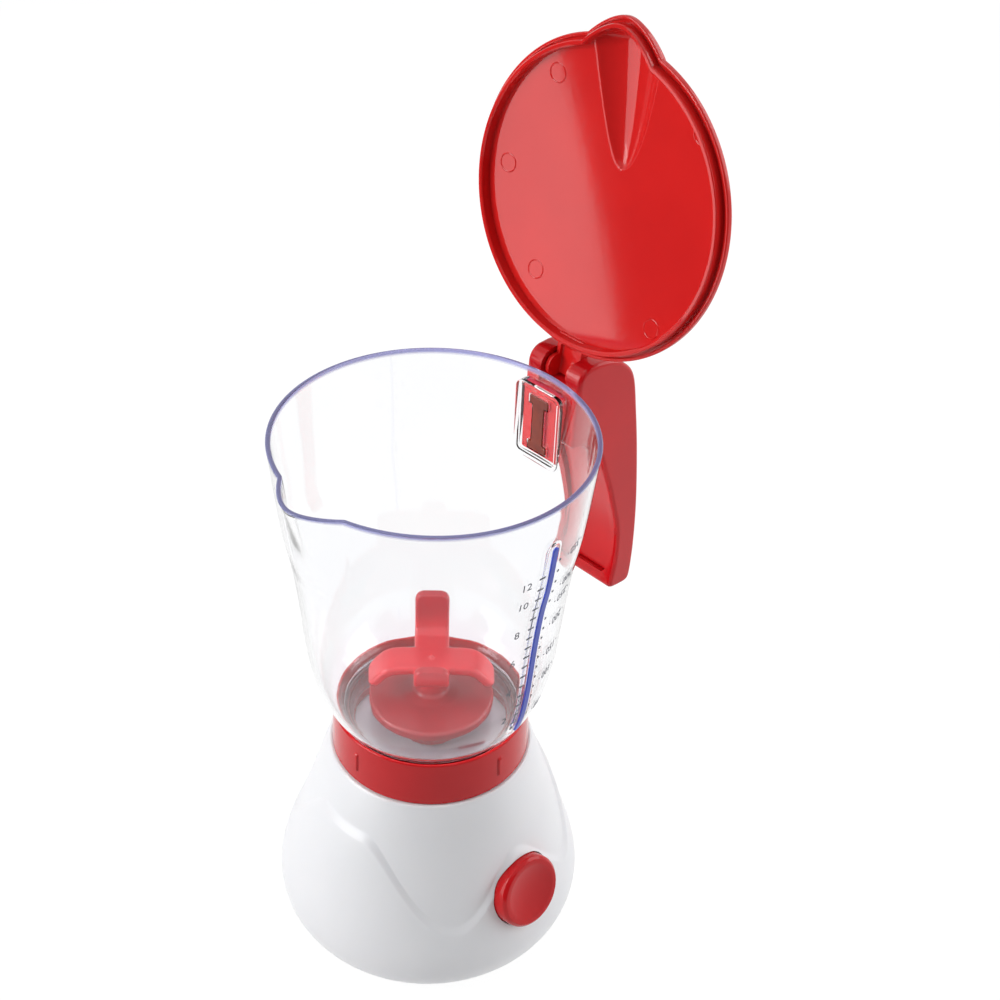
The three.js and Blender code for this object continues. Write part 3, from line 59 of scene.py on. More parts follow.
# Camera at the picture's angle
view = {
    "place": (-263.575781, -279.699824, 452.273907),
    "right": (0.710614, -0.702684, 0.035547),
    "up": (0.398022, 0.443148, 0.803243),
    "ahead": (0.580178, 0.556647, -0.59459),
    "lens": 58.716, "sensor": 36, "near": 10,
}
camera = placed("camera", bpy.data.cameras.new("camera"))
axes = [Vector(view["right"]), Vector(view["up"]), -Vector(view["ahead"])]
camera.matrix_world = Matrix.Translation(Vector(view["place"]) * mm) @ Matrix(axes).transposed().to_4x4()
camera.data.lens = view["lens"]
camera.data.sensor_width = view["sensor"]
camera.data.clip_start = view["near"] * mm
scene.camera = camera


# Material nodes
def newMaterial(name):
    material = bpy.data.materials.new(name)
    material.use_nodes = True
    tree = material.node_tree
    return material, tree, tree.nodes["Principled BSDF"]


def srgb(red, green, blue):
    # picture colour, 0 to 255, to linear
    def linear(value):
        value /= 255
        return value / 12.92 if value <= 0.04045 else ((value + 0.055) / 1.055) ** 2.4
    return (linear(red), linear(green), linear(blue), 1.0)


def grain(tree, size, detail=2.0, stretch=(1, 1, 1)):
    # soft noise whose blobs are about size millimetres across
    place = tree.nodes.new("ShaderNodeTexCoord")
    scaler = tree.nodes.new("ShaderNodeMapping")
    scaler.inputs["Scale"].default_value = stretch
    tree.links.new(place.outputs["Object"], scaler.inputs["Vector"])
    cloud = tree.nodes.new("ShaderNodeTexNoise")
    cloud.inputs["Scale"].default_value = 1 / (size * mm)
    cloud.inputs["Detail"].default_value = detail
    tree.links.new(scaler.outputs["Vector"], cloud.inputs["Vector"])
    return cloud.outputs["Fac"]


def spread(tree, source, low, high, start=0.3, end=0.7):
    ranger = tree.nodes.new("ShaderNodeMapRange")
    ranger.inputs["From Min"].default_value = start
    ranger.inputs["From Max"].default_value = end
    ranger.inputs["To Min"].default_value = low
    ranger.inputs["To Max"].default_value = high
    tree.links.new(source, ranger.inputs["Value"])
    return ranger.outputs["Result"]


def blendColours(tree, factor, first, second):
    mixer = tree.nodes.new("ShaderNodeMix")
    mixer.data_type = "RGBA"
    for socket, value in ((6, first), (7, second)):
        if isinstance(value, bpy.types.NodeSocket):
            tree.links.new(value, mixer.inputs[socket])
        else:
            mixer.inputs[socket].default_value = value
    tree.links.new(factor, mixer.inputs[0])
    return mixer.outputs[2]


def bumps(tree, shader, height, distance, strength=1.0):
    bump = tree.nodes.new("ShaderNodeBump")
    bump.inputs["Distance"].default_value = distance * mm
    bump.inputs["Strength"].default_value = strength
    tree.links.new(height, bump.inputs["Height"])
    tree.links.new(bump.outputs["Normal"], shader.inputs["Normal"])


def heightOf(tree):
    # a point's height above the floor, for pieces drawn in place
    place = tree.nodes.new("ShaderNodeTexCoord")
    parts = tree.nodes.new("ShaderNodeSeparateXYZ")
    tree.links.new(place.outputs["Object"], parts.inputs["Vector"])
    return parts.outputs["Z"]


def heightBlend(tree, first, second, low, high):
    # one colour below, another above
    return blendColours(tree, spread(tree, heightOf(tree), 0, 1, low * mm, high * mm), first, second)


# What a moulded plastic has unless its own values say otherwise
usualPlastic = {"smear": 25, "peel": 2.5, "depth": 0.004, "ior": 1.5}


def moulded(name, look):
    # moulded plastic: slow colour drift, uneven gloss and a faint orange peel
    look = {**usualPlastic, **look}
    material, tree, shader = newMaterial(name)
    drift = spread(tree, grain(tree, look["patch"], 3), 0, 1)
    tone = blendColours(tree, drift, look["colour"], look["second"])
    # painted shade: where the look asks for it, a darker colour below one height and another above a second
    if "below" in look:
        tone = heightBlend(tree, look["below"], tone, *look["shadeLowBlend"])
        tone = heightBlend(tree, tone, look["above"], *look["shadeHighBlend"])
    tree.links.new(tone, shader.inputs["Base Color"])
    smear = grain(tree, look["smear"], 1)
    tree.links.new(spread(tree, smear, *look["gloss"], 0, 1), shader.inputs["Roughness"])
    bumps(tree, shader, grain(tree, look["peel"], 1), look["depth"])
    shader.inputs["IOR"].default_value = look["ior"]
    if "through" in look:
        shader.inputs["Subsurface Weight"].default_value = look["through"]
        shader.inputs["Subsurface Radius"].default_value = look["radius"]
        shader.inputs["Subsurface Scale"].default_value = look["scatter"] * mm
    return material


def metal(name, look):
    material, tree, shader = newMaterial(name)
    stain = spread(tree, grain(tree, 3, 4), 0, 1)
    tree.links.new(blendColours(tree, stain, look["colour"], look["second"]), shader.inputs["Base Color"])
    brushed = grain(tree, 0.6, 2, look.get("drawn", (1, 1, 1)))
    tree.links.new(spread(tree, brushed, *look["gloss"]), shader.inputs["Roughness"])
    bumps(tree, shader, grain(tree, 0.25, 2), 0.002)
    shader.inputs["Metallic"].default_value = 1.0
    return material


plastics = {
    "white_plastic": {
        "colour": srgb(236, 236, 239), "second": srgb(232, 233, 236), "gloss": (0.26, 0.34),
        "patch": 40, "through": 0.15, "radius": (1.0, 0.9, 0.8), "scatter": 1.2,
    },
    "red_plastic": {
        "colour": srgb(200, 19, 25), "second": srgb(190, 17, 24), "gloss": (0.05, 0.09),
        "patch": 35, "ior": 1.33, "through": 0.08, "radius": (1.0, 0.2, 0.12), "scatter": 0.8,
    },
    # painted light: a lighter copy of the red plastic, standing in for the stronger light on the open lid
    "lid_lit_plastic": {
        "colour": srgb(217, 34, 33), "second": srgb(207, 31, 31), "gloss": (0.04, 0.08),
        "patch": 35, "ior": 1.38, "through": 0.08, "radius": (1.0, 0.2, 0.12), "scatter": 0.8,
    },
    "blade_plastic": {
        "colour": srgb(198, 28, 40), "second": srgb(188, 24, 36), "gloss": (0.26, 0.36),
        # painted shade: the disc under the arms and the upper ends of the upright arms are coloured darker
        "patch": 12, "below": srgb(152, 18, 28), "shadeLowBlend": (95, 100),
        "above": srgb(168, 20, 32), "shadeHighBlend": (108, 113),
    },
    "blue_plastic": {
        "colour": srgb(38, 66, 190), "second": srgb(32, 56, 170), "gloss": (0.25, 0.35), "patch": 8,
    },
    "nylon": {
        "colour": srgb(232, 229, 219), "second": srgb(222, 218, 206), "gloss": (0.42, 0.55), "patch": 14,
    },
    "black_plastic": {
        "colour": srgb(34, 34, 37), "second": srgb(26, 26, 29), "gloss": (0.4, 0.55), "patch": 5,
    },
    "rubber": {
        "colour": srgb(44, 44, 46), "second": srgb(34, 34, 36), "gloss": (0.7, 0.85), "patch": 3,
        "peel": 0.6, "depth": 0.02,
    },
    "battery_green": {
        "colour": srgb(40, 112, 74), "second": srgb(34, 98, 64), "gloss": (0.3, 0.4), "patch": 12,
    },
    "wire_red": {
        "colour": srgb(188, 34, 40), "second": srgb(170, 26, 34), "gloss": (0.4, 0.5), "patch": 6,
    },
    "wire_yellow": {
        "colour": srgb(222, 184, 48), "second": srgb(206, 168, 40), "gloss": (0.4, 0.5), "patch": 6,
    },
    "wire_black": {
        "colour": srgb(30, 30, 32), "second": srgb(22, 22, 24), "gloss": (0.4, 0.5), "patch": 6,
    },
}
metals = {
    "steel": {
        "colour": srgb(196, 198, 202), "second": srgb(178, 180, 186), "gloss": (0.22, 0.36),
        "drawn": (1, 1, 0.2),
    },
    "brass": {
        "colour": srgb(206, 168, 84), "second": srgb(186, 146, 66), "gloss": (0.25, 0.4),
    },
}
finishes = {name: moulded(name, look) for name, look in plastics.items()}
finishes.update({name: metal(name, look) for name, look in metals.items()})


def clearShell(name, look):
    # clear moulding: lamps pass it, the rim's edge gathers a blue tint, and the foot has a painted pink
    # reflection of the red collar round it
    material, tree, shader = newMaterial(name)
    height = heightOf(tree)
    rim = spread(tree, height, 0, 1, look["tintFrom"] * mm, look["tintTo"] * mm)
    body = blendColours(tree, spread(tree, grain(tree, 25, 2), 0, 1), look["colour"], look["second"])
    # painted reflection: a pink tint towards the foot stands in for the red collar seen through the clear
    # wall
    foot = spread(tree, height, 1, 0, look["footReflectionTo"] * mm, look["footReflectionFrom"] * mm)
    body = blendColours(tree, foot, body, look["foot"])
    tree.links.new(blendColours(tree, rim, body, look["rim"]), shader.inputs["Base Color"])
    tree.links.new(spread(tree, rim, 1, look["rimClear"], 0, 1), shader.inputs["Transmission Weight"])
    tree.links.new(spread(tree, grain(tree, 8, 4), *look["gloss"]), shader.inputs["Roughness"])
    bumps(tree, shader, grain(tree, 14, 2), 0.02, 0.5)
    shader.inputs["IOR"].default_value = look["ior"]
    # rays from the lamps go straight through
    film = tree.nodes.new("ShaderNodeBsdfTransparent")
    film.inputs["Color"].default_value = look["shade"]
    path = tree.nodes.new("ShaderNodeLightPath")
    joiner = tree.nodes.new("ShaderNodeMixShader")
    tree.links.new(path.outputs["Is Shadow Ray"], joiner.inputs[0])
    tree.links.new(shader.outputs[0], joiner.inputs[1])
    tree.links.new(film.outputs[0], joiner.inputs[2])
    tree.links.new(joiner.outputs[0], tree.nodes["Material Output"].inputs["Surface"])
    return material


finishes["clear_plastic"] = clearShell("clear_plastic", {
    "colour": (0.975, 0.978, 0.985, 1), "second": (0.962, 0.967, 0.978, 1), "shade": (0.965, 0.965, 0.975, 1),
    "rim": srgb(163, 164, 220), "tintFrom": 188.9, "tintTo": 189.9, "rimClear": 0.45,
    # the foot colour is a painted reflection of the red collar
    "foot": (0.96, 0.9, 0.94, 1), "footReflectionFrom": 100, "footReflectionTo": 90, "gloss": (0.015, 0.04), "ior": 1.36,
})
print("finishes ready:", len(finishes))


# Outlines
def curveThrough(points, steps):
    # even curve through the points, as the solids have it
    points = np.array(points, float)
    last = len(points) - 1
    samples = []
    for t in np.linspace(0, last, steps + 1):
        i = min(int(t), last)
        w = t - i
        a, b = points[max(i - 1, 0)], points[i]
        c, d = points[min(i + 1, last)], points[min(i + 2, last)]
        v0, v1 = (c - a) / 2, (d - b) / 2
        cubed = (2 * b - 2 * c + v0 + v1) * w ** 3
        squared = (3 * c - 3 * b - 2 * v0 - v1) * w ** 2
        samples.append(cubed + squared + v0 * w + b)
    return np.array(samples)


def roundCorners(corners, steps=5, closed=True):
    # corners are (x, y, radius); a radius of 0 stays sharp
    corners = [tuple(c) + (0.0,) * (3 - len(c)) for c in corners]
    count, line = len(corners), []
    for i, (x, y, radius) in enumerate(corners):
        here = np.array([x, y], float)
        before = np.array(corners[i - 1][:2]) - here
        after = np.array(corners[(i + 1) % count][:2]) - here
        sizes = np.linalg.norm(before), np.linalg.norm(after)
        if radius <= 0 or (not closed and i in (0, count - 1)):
            line.append(here)
            continue
        before, after = before / sizes[0], after / sizes[1]
        half = math.acos(max(-1, min(1, float(before @ after)))) / 2
        if half > math.pi / 2 - 0.01:
            line.append(here)
            continue
        reach = min(radius / math.tan(half), 0.49 * sizes[0], 0.49 * sizes[1])
        centre = here + (before + after) / np.linalg.norm(before + after) * reach / math.cos(half)
        start, end = here + before * reach - centre, here + after * reach - centre
        sweep = math.pi - 2 * half
        for t in np.linspace(0, 1, steps + 1):
            arc = start * math.sin((1 - t) * sweep) + end * math.sin(t * sweep)
            line.append(centre + arc / math.sin(sweep))
    return np.array(line)


def oblong(x0, x1, y0, y1, rounding, steps):
    # a rectangle with rounded corners
    return roundCorners([(x, y, rounding) for x, y in ((x0, y0), (x1, y0), (x1, y1), (x0, y1))], steps)


def evenly(line, spacing, closed=False):
    # the same line with points about spacing apart
    line = np.array(line, float)
    if closed:
        line = np.vstack([line, line[:1]])
    steps = np.linalg.norm(np.diff(line, axis=0), axis=1)
    keep = np.concatenate([[True], steps > 1e-9])
    line = line[keep]
    along = np.concatenate([[0], np.cumsum(steps[steps > 1e-9])])
    marks = np.linspace(0, along[-1], max(3, int(round(along[-1] / spacing))) + 1)
    result = np.column_stack([np.interp(marks, along, line[:, k]) for k in range(line.shape[1])])
    return result[:-1] if closed else result


# Meshes
def ringFaces(rings, around, wrap=False, start=0):
    faces = []
    for j in range(rings if wrap else rings - 1):
        a, b = start + j * around, start + ((j + 1) % rings) * around
        for i in range(around):
            k = (i + 1) % around
            faces.append((a + i, a + k, b + k, b + i))
    return faces


def buildMesh(name, points, faces, sharp=38):
    mesh = bpy.data.meshes.new(name)
    mesh.from_pydata((np.array(points, float) * mm).tolist(), [], faces)
    mesh.validate()
    tidy = bmesh.new()
    tidy.from_mesh(mesh)
    bmesh.ops.recalc_face_normals(tidy, faces=tidy.faces)
    if tidy.calc_volume(signed=True) < 0:
        bmesh.ops.reverse_faces(tidy, faces=tidy.faces)
    tidy.to_mesh(mesh)
    tidy.free()
    piece = placed(name, mesh)
    soften(piece, sharp)
    return piece


def soften(piece, sharp=38):
    piece.data.shade_smooth()
    piece.data.set_sharp_from_angle(angle=math.radians(sharp))


def ringed(name, rings, ends="wrap", sharp=38):
    # rings of points round a body; ends wrap, or close on a middle point or a flat face
    rings = np.array(rings, float)
    count, around = rings.shape[:2]
    points = rings.reshape(-1, 3)
    faces = ringFaces(count, around, ends == "wrap")
    if ends == "flat":
        faces.append(tuple(range(around))[::-1])
        faces.append(tuple(range((count - 1) * around, count * around)))
    if ends == "middle":
        for j in (0, count - 1):
            points = np.vstack([points, rings[j].mean(axis=0)])
            first, centre = j * around, len(points) - 1
            for i in range(around):
                k = (i + 1) % around
                faces.append((centre, first + k, first + i) if j == 0 else (centre, first + i, first + k))
    return buildMesh(name, points, faces, sharp)


def turned(name, outline, steps=128, sharp=38):
    # a lathe form; an outline that starts and ends on the axis gets middle points
    outline = np.array(outline, float)
    angles = np.linspace(0, 2 * math.pi, steps, endpoint=False)
    onAxis = outline[0][0] < 1e-6 and outline[-1][0] < 1e-6
    body = outline[1:-1] if onAxis else outline
    rings = [np.column_stack([r * np.cos(angles), r * np.sin(angles), np.full(steps, z)]) for r, z in body]
    if not onAxis:
        return ringed(name, rings, "wrap", sharp)
    piece = ringed(name, rings, "middle", sharp)
    mesh = piece.data
    ends = [mesh.vertices[len(mesh.vertices) - 2], mesh.vertices[len(mesh.vertices) - 1]]
    for end, (_, z) in zip(ends, (outline[0], outline[-1])):
        end.co.z = z * mm
    return piece


def sideNormals(outline):
    # outward normals of a closed outline, longer at corners so that offsets stay even
    before = outline - np.roll(outline, 1, axis=0)
    after = np.roll(outline, -1, axis=0) - outline
    normals = []
    for step in (before, after):
        step = step / np.maximum(np.linalg.norm(step, axis=1, keepdims=True), 1e-9)
        normals.append(np.column_stack([step[:, 1], -step[:, 0]]))
    middle = normals[0] + normals[1]
    middle /= np.maximum(np.linalg.norm(middle, axis=1, keepdims=True), 1e-9)
    stretch = 1 / np.maximum((middle * normals[0]).sum(axis=1), 0.6)
    x, y = outline.T
    area = np.sum(x * np.roll(y, -1) - np.roll(x, -1) * y)
    return middle * stretch[:, None] * (1 if area > 0 else -1)


def roundedSlab(name, outline, low, high, rounding, place, steps=5, sharp=38):
    # an outline drawn out between two levels with rounded edges; place maps (u, v, level) to x, y, z
    outline = np.array(outline, float)
    outward = sideNormals(outline)
    rows = []
    for k in range(steps + 1):
        turn = math.pi / 2 * k / steps
        rows.append((low + rounding * (1 - math.cos(turn)), rounding * (1 - math.sin(turn))))
    for k in range(steps, -1, -1):
        turn = math.pi / 2 * k / steps
        rows.append((high - rounding * (1 - math.cos(turn)), rounding * (1 - math.sin(turn))))
    rings = []
    for level, inset in rows:
        line = outline - outward * inset
        rings.append(np.array(place(line[:, 0], line[:, 1], np.full(len(line), level))).T)
    return ringed(name, rings, "flat", sharp)


def box(name, low, high, rounding, steps=3):
    # a block with rounded upright edges and rounded rims
    (x0, y0, z0), (x1, y1, z1) = low, high
    outline = oblong(x0, x1, y0, y1, rounding, steps)
    return roundedSlab(name, outline, z0, z1, rounding * 0.98, lambda u, v, w: (u, v, w), steps)


def worked(piece, tool, how):
    # a cut, a join or an overlap, kept in the mesh
    step = piece.modifiers.new("step", "BOOLEAN")
    step.operation = how
    step.solver = "MANIFOLD"
    step.object = tool
    bpy.context.view_layer.update()
    ready = piece.evaluated_get(bpy.context.evaluated_depsgraph_get())
    fresh = bpy.data.meshes.new_from_object(ready)
    piece.modifiers.remove(step)
    old = piece.data
    piece.data = fresh
    bpy.data.meshes.remove(old)
    bpy.data.objects.remove(tool)
    soften(piece)


def carve(piece, tool):
    worked(piece, tool, "DIFFERENCE")


def fuse(piece, tool):
    worked(piece, tool, "UNION")


def melted(piece, voxel, smoothing, rounds):
    # one skin over joined forms, with soft inner corners
    mesh = piece.modifiers.new("skin", "REMESH")
    mesh.mode = "VOXEL"
    mesh.voxel_size = voxel * mm
    relax = piece.modifiers.new("relax", "SMOOTH")
    relax.factor = smoothing
    relax.iterations = rounds
    bpy.context.view_layer.update()
    ready = piece.evaluated_get(bpy.context.evaluated_depsgraph_get())
    fresh = bpy.data.meshes.new_from_object(ready)
    piece.modifiers.clear()
    piece.data = fresh
    piece.data.shade_smooth()


def joinAll(name, pieces):
    # several closed bodies in one object
    merged = bmesh.new()
    for piece in pieces:
        merged.from_mesh(piece.data)
    mesh = bpy.data.meshes.new(name)
    merged.to_mesh(mesh)
    merged.free()
    for piece in pieces:
        bpy.data.objects.remove(piece)
    result = placed(name, mesh)
    soften(result)
    return result


def evenShading(piece):
    weights = piece.modifiers.new("evenShading", "WEIGHTED_NORMAL")
    weights.keep_sharp = True
    weights.weight = 60


def dress(piece, body, finish, *replaced, material=None):
    piece.data.materials.clear()
    piece.data.materials.append(material or finishes[finish])
    piece.data.polygons.foreach_set("material_index", [0] * len(piece.data.polygons))
    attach(piece, body)
    if replaced:
        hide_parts(*replaced)


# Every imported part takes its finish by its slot
slotOf = {entry["node"]: entry["material_slot"] for entry in frame["record"]["subparts"]}
for nodeName, packed in nodes.items():
    packed.data.materials.clear()
    packed.data.materials.append(finishes[slotOf[nodeName]])
    packed.data.shade_smooth()
    packed.data.set_sharp_from_angle(angle=math.radians(32))
print("packed parts finished")


# White housing
housing = {
    "height": 72.5, "radius": 50.9,
    "outline": [(0.792, 0), (0.868, 0.016), (0.933, 0.059), (0.981, 0.12), (1, 0.2), (0.979, 0.3),
                (0.917, 0.45), (0.853, 0.6), (0.784, 0.749), (0.716, 0.87), (0.646, 1)],
    "waveFront": 51, "waveSide": 59.5, "waveTrough": 31, "step": 1.1, "rise": 3.6,
    "fadeLow": 54, "fadeHigh": 68, "troughAngle": 58, "sideFlat": 13,
    "deck": 2.2, "inset": 3.3, "mouth": 39.7, "deckHole": 3.9, "edge": 0.5,
}
housingSamples = curveThrough([(out * housing["radius"], up * housing["height"])
                               for out, up in housing["outline"]], 400)


def ease(value):
    value = np.clip(value, 0, 1)
    return value * value * (3 - 2 * value)


def plainRadius(z):
    return np.interp(z, housingSamples[:, 1], housingSamples[:, 0])


def waveHeight(degrees):
    # height of the moulded line round the housing: level at the sides and the button, dipping between
    turn = np.abs((degrees + 180) % 360 - 180)
    turn = np.minimum(turn, 180 - turn)
    rise = ease((turn - housing["troughAngle"]) / (90 - housing["troughAngle"]))
    fall = ease((turn - housing["sideFlat"]) / (housing["troughAngle"] - housing["sideFlat"]))
    front = housing["waveTrough"] + (housing["waveFront"] - housing["waveTrough"]) * rise
    side = housing["waveSide"] + (housing["waveTrough"] - housing["waveSide"]) * fall
    return np.where(turn > housing["troughAngle"], front, side)


def housingRadius(degrees, z):
    above = ease((z - waveHeight(degrees) + housing["rise"]) / housing["rise"])
    fade = 1 - ease((z - housing["fadeLow"]) / (housing["fadeHigh"] - housing["fadeLow"]))
    return plainRadius(z) - housing["step"] * above * fade


def roundBody(name, rows, angles, sharp=38):
    # rows of (radius, height), each one value or one for every angle, closed into a ring of rows
    turns = np.radians(angles)
    rings = []
    for radius, height in rows:
        radius, height = radius + np.zeros(len(angles)), height + np.zeros(len(angles))
        rings.append(np.column_stack([radius * np.cos(turns), radius * np.sin(turns), height]))
    return ringed(name, rings, "wrap", sharp)


def housingRows(angles):
    wave = waveHeight(angles)
    top, edge = housing["height"], housing["edge"]
    heights = [wave * 0 + (wave - housing["rise"]) * share for share in np.linspace(0, 1, 60) ** 1.25]
    heights += [wave - housing["rise"] * (1 - share) for share in np.linspace(0, 1, 15)[1:]]
    heights += [wave + (top - edge - wave) * share for share in np.linspace(0, 1, 50)[1:]]
    rows = [(housingRadius(angles, z), z) for z in heights]
    for turn in np.linspace(0.2, 1, 5) * math.pi / 2:
        rows.append((plainRadius(top) - edge * (1 - math.cos(turn)), top - edge * (1 - math.sin(turn))))
    rows += [(r, top) for r in np.linspace(31, housing["deckHole"], 8)]
    underside, inset = top - housing["deck"], housing["inset"]
    rows += [(r, underside) for r in np.linspace(housing["deckHole"], plainRadius(underside) - inset, 8)]
    rows += [(plainRadius(z) - inset, z) for z in np.linspace(underside - 1, inset, 40)]
    rows += [(housing["mouth"], inset - 1), (housing["mouth"], 0)]
    return rows


button = {
    "place": (0, -48.8, 35.9), "tilt": 17, "radius": 12.2, "rim": 11.4, "depth": 9, "wall": 1.4,
    "top": 2.8, "dish": 1.3, "dishRadius": 9.8, "flange": 1.2, "flangeHeight": 1.3, "stem": 1.6, "hole": 12.5,
    "springSeat": 13.9, "springShare": 0.7,
}
buttonPlace = (Matrix.Translation(Vector(button["place"]) * mm)
               @ Matrix.Rotation(math.radians(90 - button["tilt"]), 4, "X"))

housingAngles = np.arange(0, 360, 1.0)
housingShell = roundBody("housing_shell", housingRows(housingAngles), housingAngles)
buttonHole = turned("buttonHole", [(0, -14), (button["hole"], -14), (button["hole"], 8), (0, 8)], 96)
buttonHole.data.transform(buttonPlace)
carve(housingShell, buttonHole)
evenShading(housingShell)
dress(housingShell, "base", "white_plastic", "base_shell")
print("housing:", len(housingShell.data.polygons), "faces")


# Red collar with its lip, ledge and lock ribs
collar = {
    "foot": 72.8, "height": 16.3, "footRadius": 32, "topRadius": 31.4, "wall": 1.5,
    "lipWall": 1, "lipHeight": 4.2, "ledgeWidth": 3.4, "ledgeHeight": 3.4,
    "ribWidth": 1.5, "ribHeight": 7.4, "ribFoot": 4.4, "ribProud": 0.6, "ribSoft": 0.6,
    "ribAngles": (0, 90, 180, 270),
}
collarTop = collar["foot"] + collar["height"]
lipInner = collar["topRadius"] - collar["lipWall"]
ledgeInner = collar["footRadius"] - collar["wall"] - collar["ledgeWidth"]
wallInner = collar["topRadius"] - collar["wall"]
ledgeTop = collar["foot"] + collar["ledgeHeight"]
collarOutline = roundCorners([
    (ledgeInner, collar["foot"], 0.3), (collar["footRadius"], collar["foot"], 0.35),
    (collar["topRadius"], collarTop, 0.45), (lipInner, collarTop, 0.35),
    (lipInner, collarTop - collar["lipHeight"], 0.2), (wallInner, collarTop - collar["lipHeight"] - 0.7, 0.3),
    (wallInner, ledgeTop, 0.5), (ledgeInner, ledgeTop, 0.3),
], 4)
collarAngles = np.array(sorted(set(
    [a for a in np.arange(0, 360, 2.0) if abs((a + 45) % 90 - 45) > 2.9]
    + [rib + step for rib in collar["ribAngles"] for step in np.arange(-2.8, 2.81, 0.14)])))
ribAcross = np.radians(np.abs((collarAngles + 45) % 90 - 45)) * collar["footRadius"]
ribLow = collar["foot"] + collar["ribFoot"]
ribHigh, ribSoft = ribLow + collar["ribHeight"], collar["ribSoft"]
collarRows = []
for radius, height in evenly(collarOutline, 0.3, closed=True):
    outside = radius > wallInner + 0.9
    upAndDown = ease((height - ribLow) / ribSoft) * ease((ribHigh - height) / ribSoft) * outside
    rib = collar["ribProud"] * upAndDown * ease((collar["ribWidth"] / 2 + ribSoft / 2 - ribAcross) / ribSoft)
    collarRows.append((radius + rib, height))
collarRing = roundBody("collar_band", collarRows, collarAngles)
evenShading(collarRing)
dress(collarRing, "base", "red_plastic", "collar_ring")
print("collar:", len(collarRing.data.polygons), "faces")


# Red push button, dished
b = button
sphere = (b["dishRadius"] ** 2 + b["dish"] ** 2) / (2 * b["dish"])
dish = [(r, sphere - b["dish"] - math.sqrt(sphere ** 2 - r ** 2))
        for r in np.linspace(0, b["dishRadius"], 16)]
flangeTop = b["flangeHeight"] - b["depth"]
skirt = roundCorners([
    (b["dishRadius"], dish[-1][1]), (b["rim"] - 0.3, 0.0, 0.6), (b["radius"] - 0.12, -0.9, 1.2),
    (b["radius"], -2.2, 2.0), (b["radius"], flangeTop, 0.2),
    (b["radius"] + b["flange"], flangeTop, 0.3), (b["radius"] + b["flange"], -b["depth"], 0.2),
    (b["radius"] - b["wall"], -b["depth"], 0.2), (b["radius"] - b["wall"], -b["top"], 0.6),
    (b["stem"], -b["top"], 0.5), (b["stem"], -b["depth"] - 0.3, 0.2), (0, -b["depth"] - 0.3),
], 6, closed=False)
pushButton = turned("push_button", [*dish, *skirt[1:]], 128)
pushButton.data.transform(buttonPlace)
evenShading(pushButton)
dress(pushButton, "push_button", "red_plastic", "button")

# Its spring, drawn as short as the pressed button leaves it
seat = buttonPlace @ Matrix.Translation((0, 0, -b["springSeat"] * mm))
packedSpring = nodes["button_spring"]
spring = placed("short_spring", packedSpring.data.copy())
shorter = seat @ Matrix.Diagonal((1, 1, b["springShare"], 1)) @ seat.inverted()
spring.data.transform(shorter @ packedSpring.matrix_world)
dress(spring, "base", "steel", "button_spring")
print("button:", len(pushButton.data.polygons), "faces")


# Clear jug: one closed shell, its wall followed row by row
jug = {
    "foot": 76.5, "rim": 190.5, "radius": 48, "wall": 1.5, "floor": 87.2, "floorThickness": 2, "neck": 26.9,
    "outline": [(0.5917, 0), (0.5958, 0.085), (0.622, 0.1105), (0.6979, 0.1544), (0.7729, 0.2386),
                (0.8167, 0.3439), (0.8542, 0.5123), (0.89, 0.64), (0.9417, 0.7649), (1, 1)],
    "spoutReach": 6, "spoutHalf": 16.5, "spoutTip": 0.35, "spoutDepth": 34, "spoutPower": 1.4,
    "floorHole": 3.6, "rimRound": 0.55,
    "stripAngle": -87.5, "stripLow": 99, "stripHigh": 176,
    "channelHalf": 1.4, "gap": 0.3, "channelWall": 0.7, "channelProud": 0.2, "channelSoft": 0.9,
}
jugSamples = curveThrough([(r * jug["radius"], jug["foot"] + z * (jug["rim"] - jug["foot"]))
                           for r, z in jug["outline"]], 500)


def jugRadius(z):
    return np.interp(z, jugSamples[:, 1], jugSamples[:, 0])


def beak(degrees, reach):
    share = np.abs((degrees % 360) - 180) / jug["spoutHalf"]
    tip = jug["spoutTip"]
    full = math.sqrt(1 + tip ** 2)
    return np.where(share < 1, reach * (full - np.sqrt(share ** 2 + tip ** 2)) / (full - tip), 0)


def channelRise(degrees, z):
    # raised border round the level strip, measured from the strip's middle line
    low, high = jug["stripLow"] + jug["channelHalf"], jug["stripHigh"] - jug["channelHalf"]
    across = np.radians((degrees - jug["stripAngle"] + 180) % 360 - 180) * jugRadius(z)
    past = np.maximum(np.maximum(low - z, z - high), 0)
    away = np.hypot(across, past)
    inner = jug["channelHalf"] + jug["gap"]
    outer = inner + jug["channelWall"]
    soft = jug["channelSoft"]
    return jug["channelProud"] * ease((away - inner + soft) / soft) * (1 - ease((away - outer) / soft))


def jugOuter(degrees, z):
    spout = np.clip((z - jug["rim"] + jug["spoutDepth"]) / jug["spoutDepth"], 0, 1) ** jug["spoutPower"]
    return jugRadius(z) + beak(degrees, jug["spoutReach"]) * spout


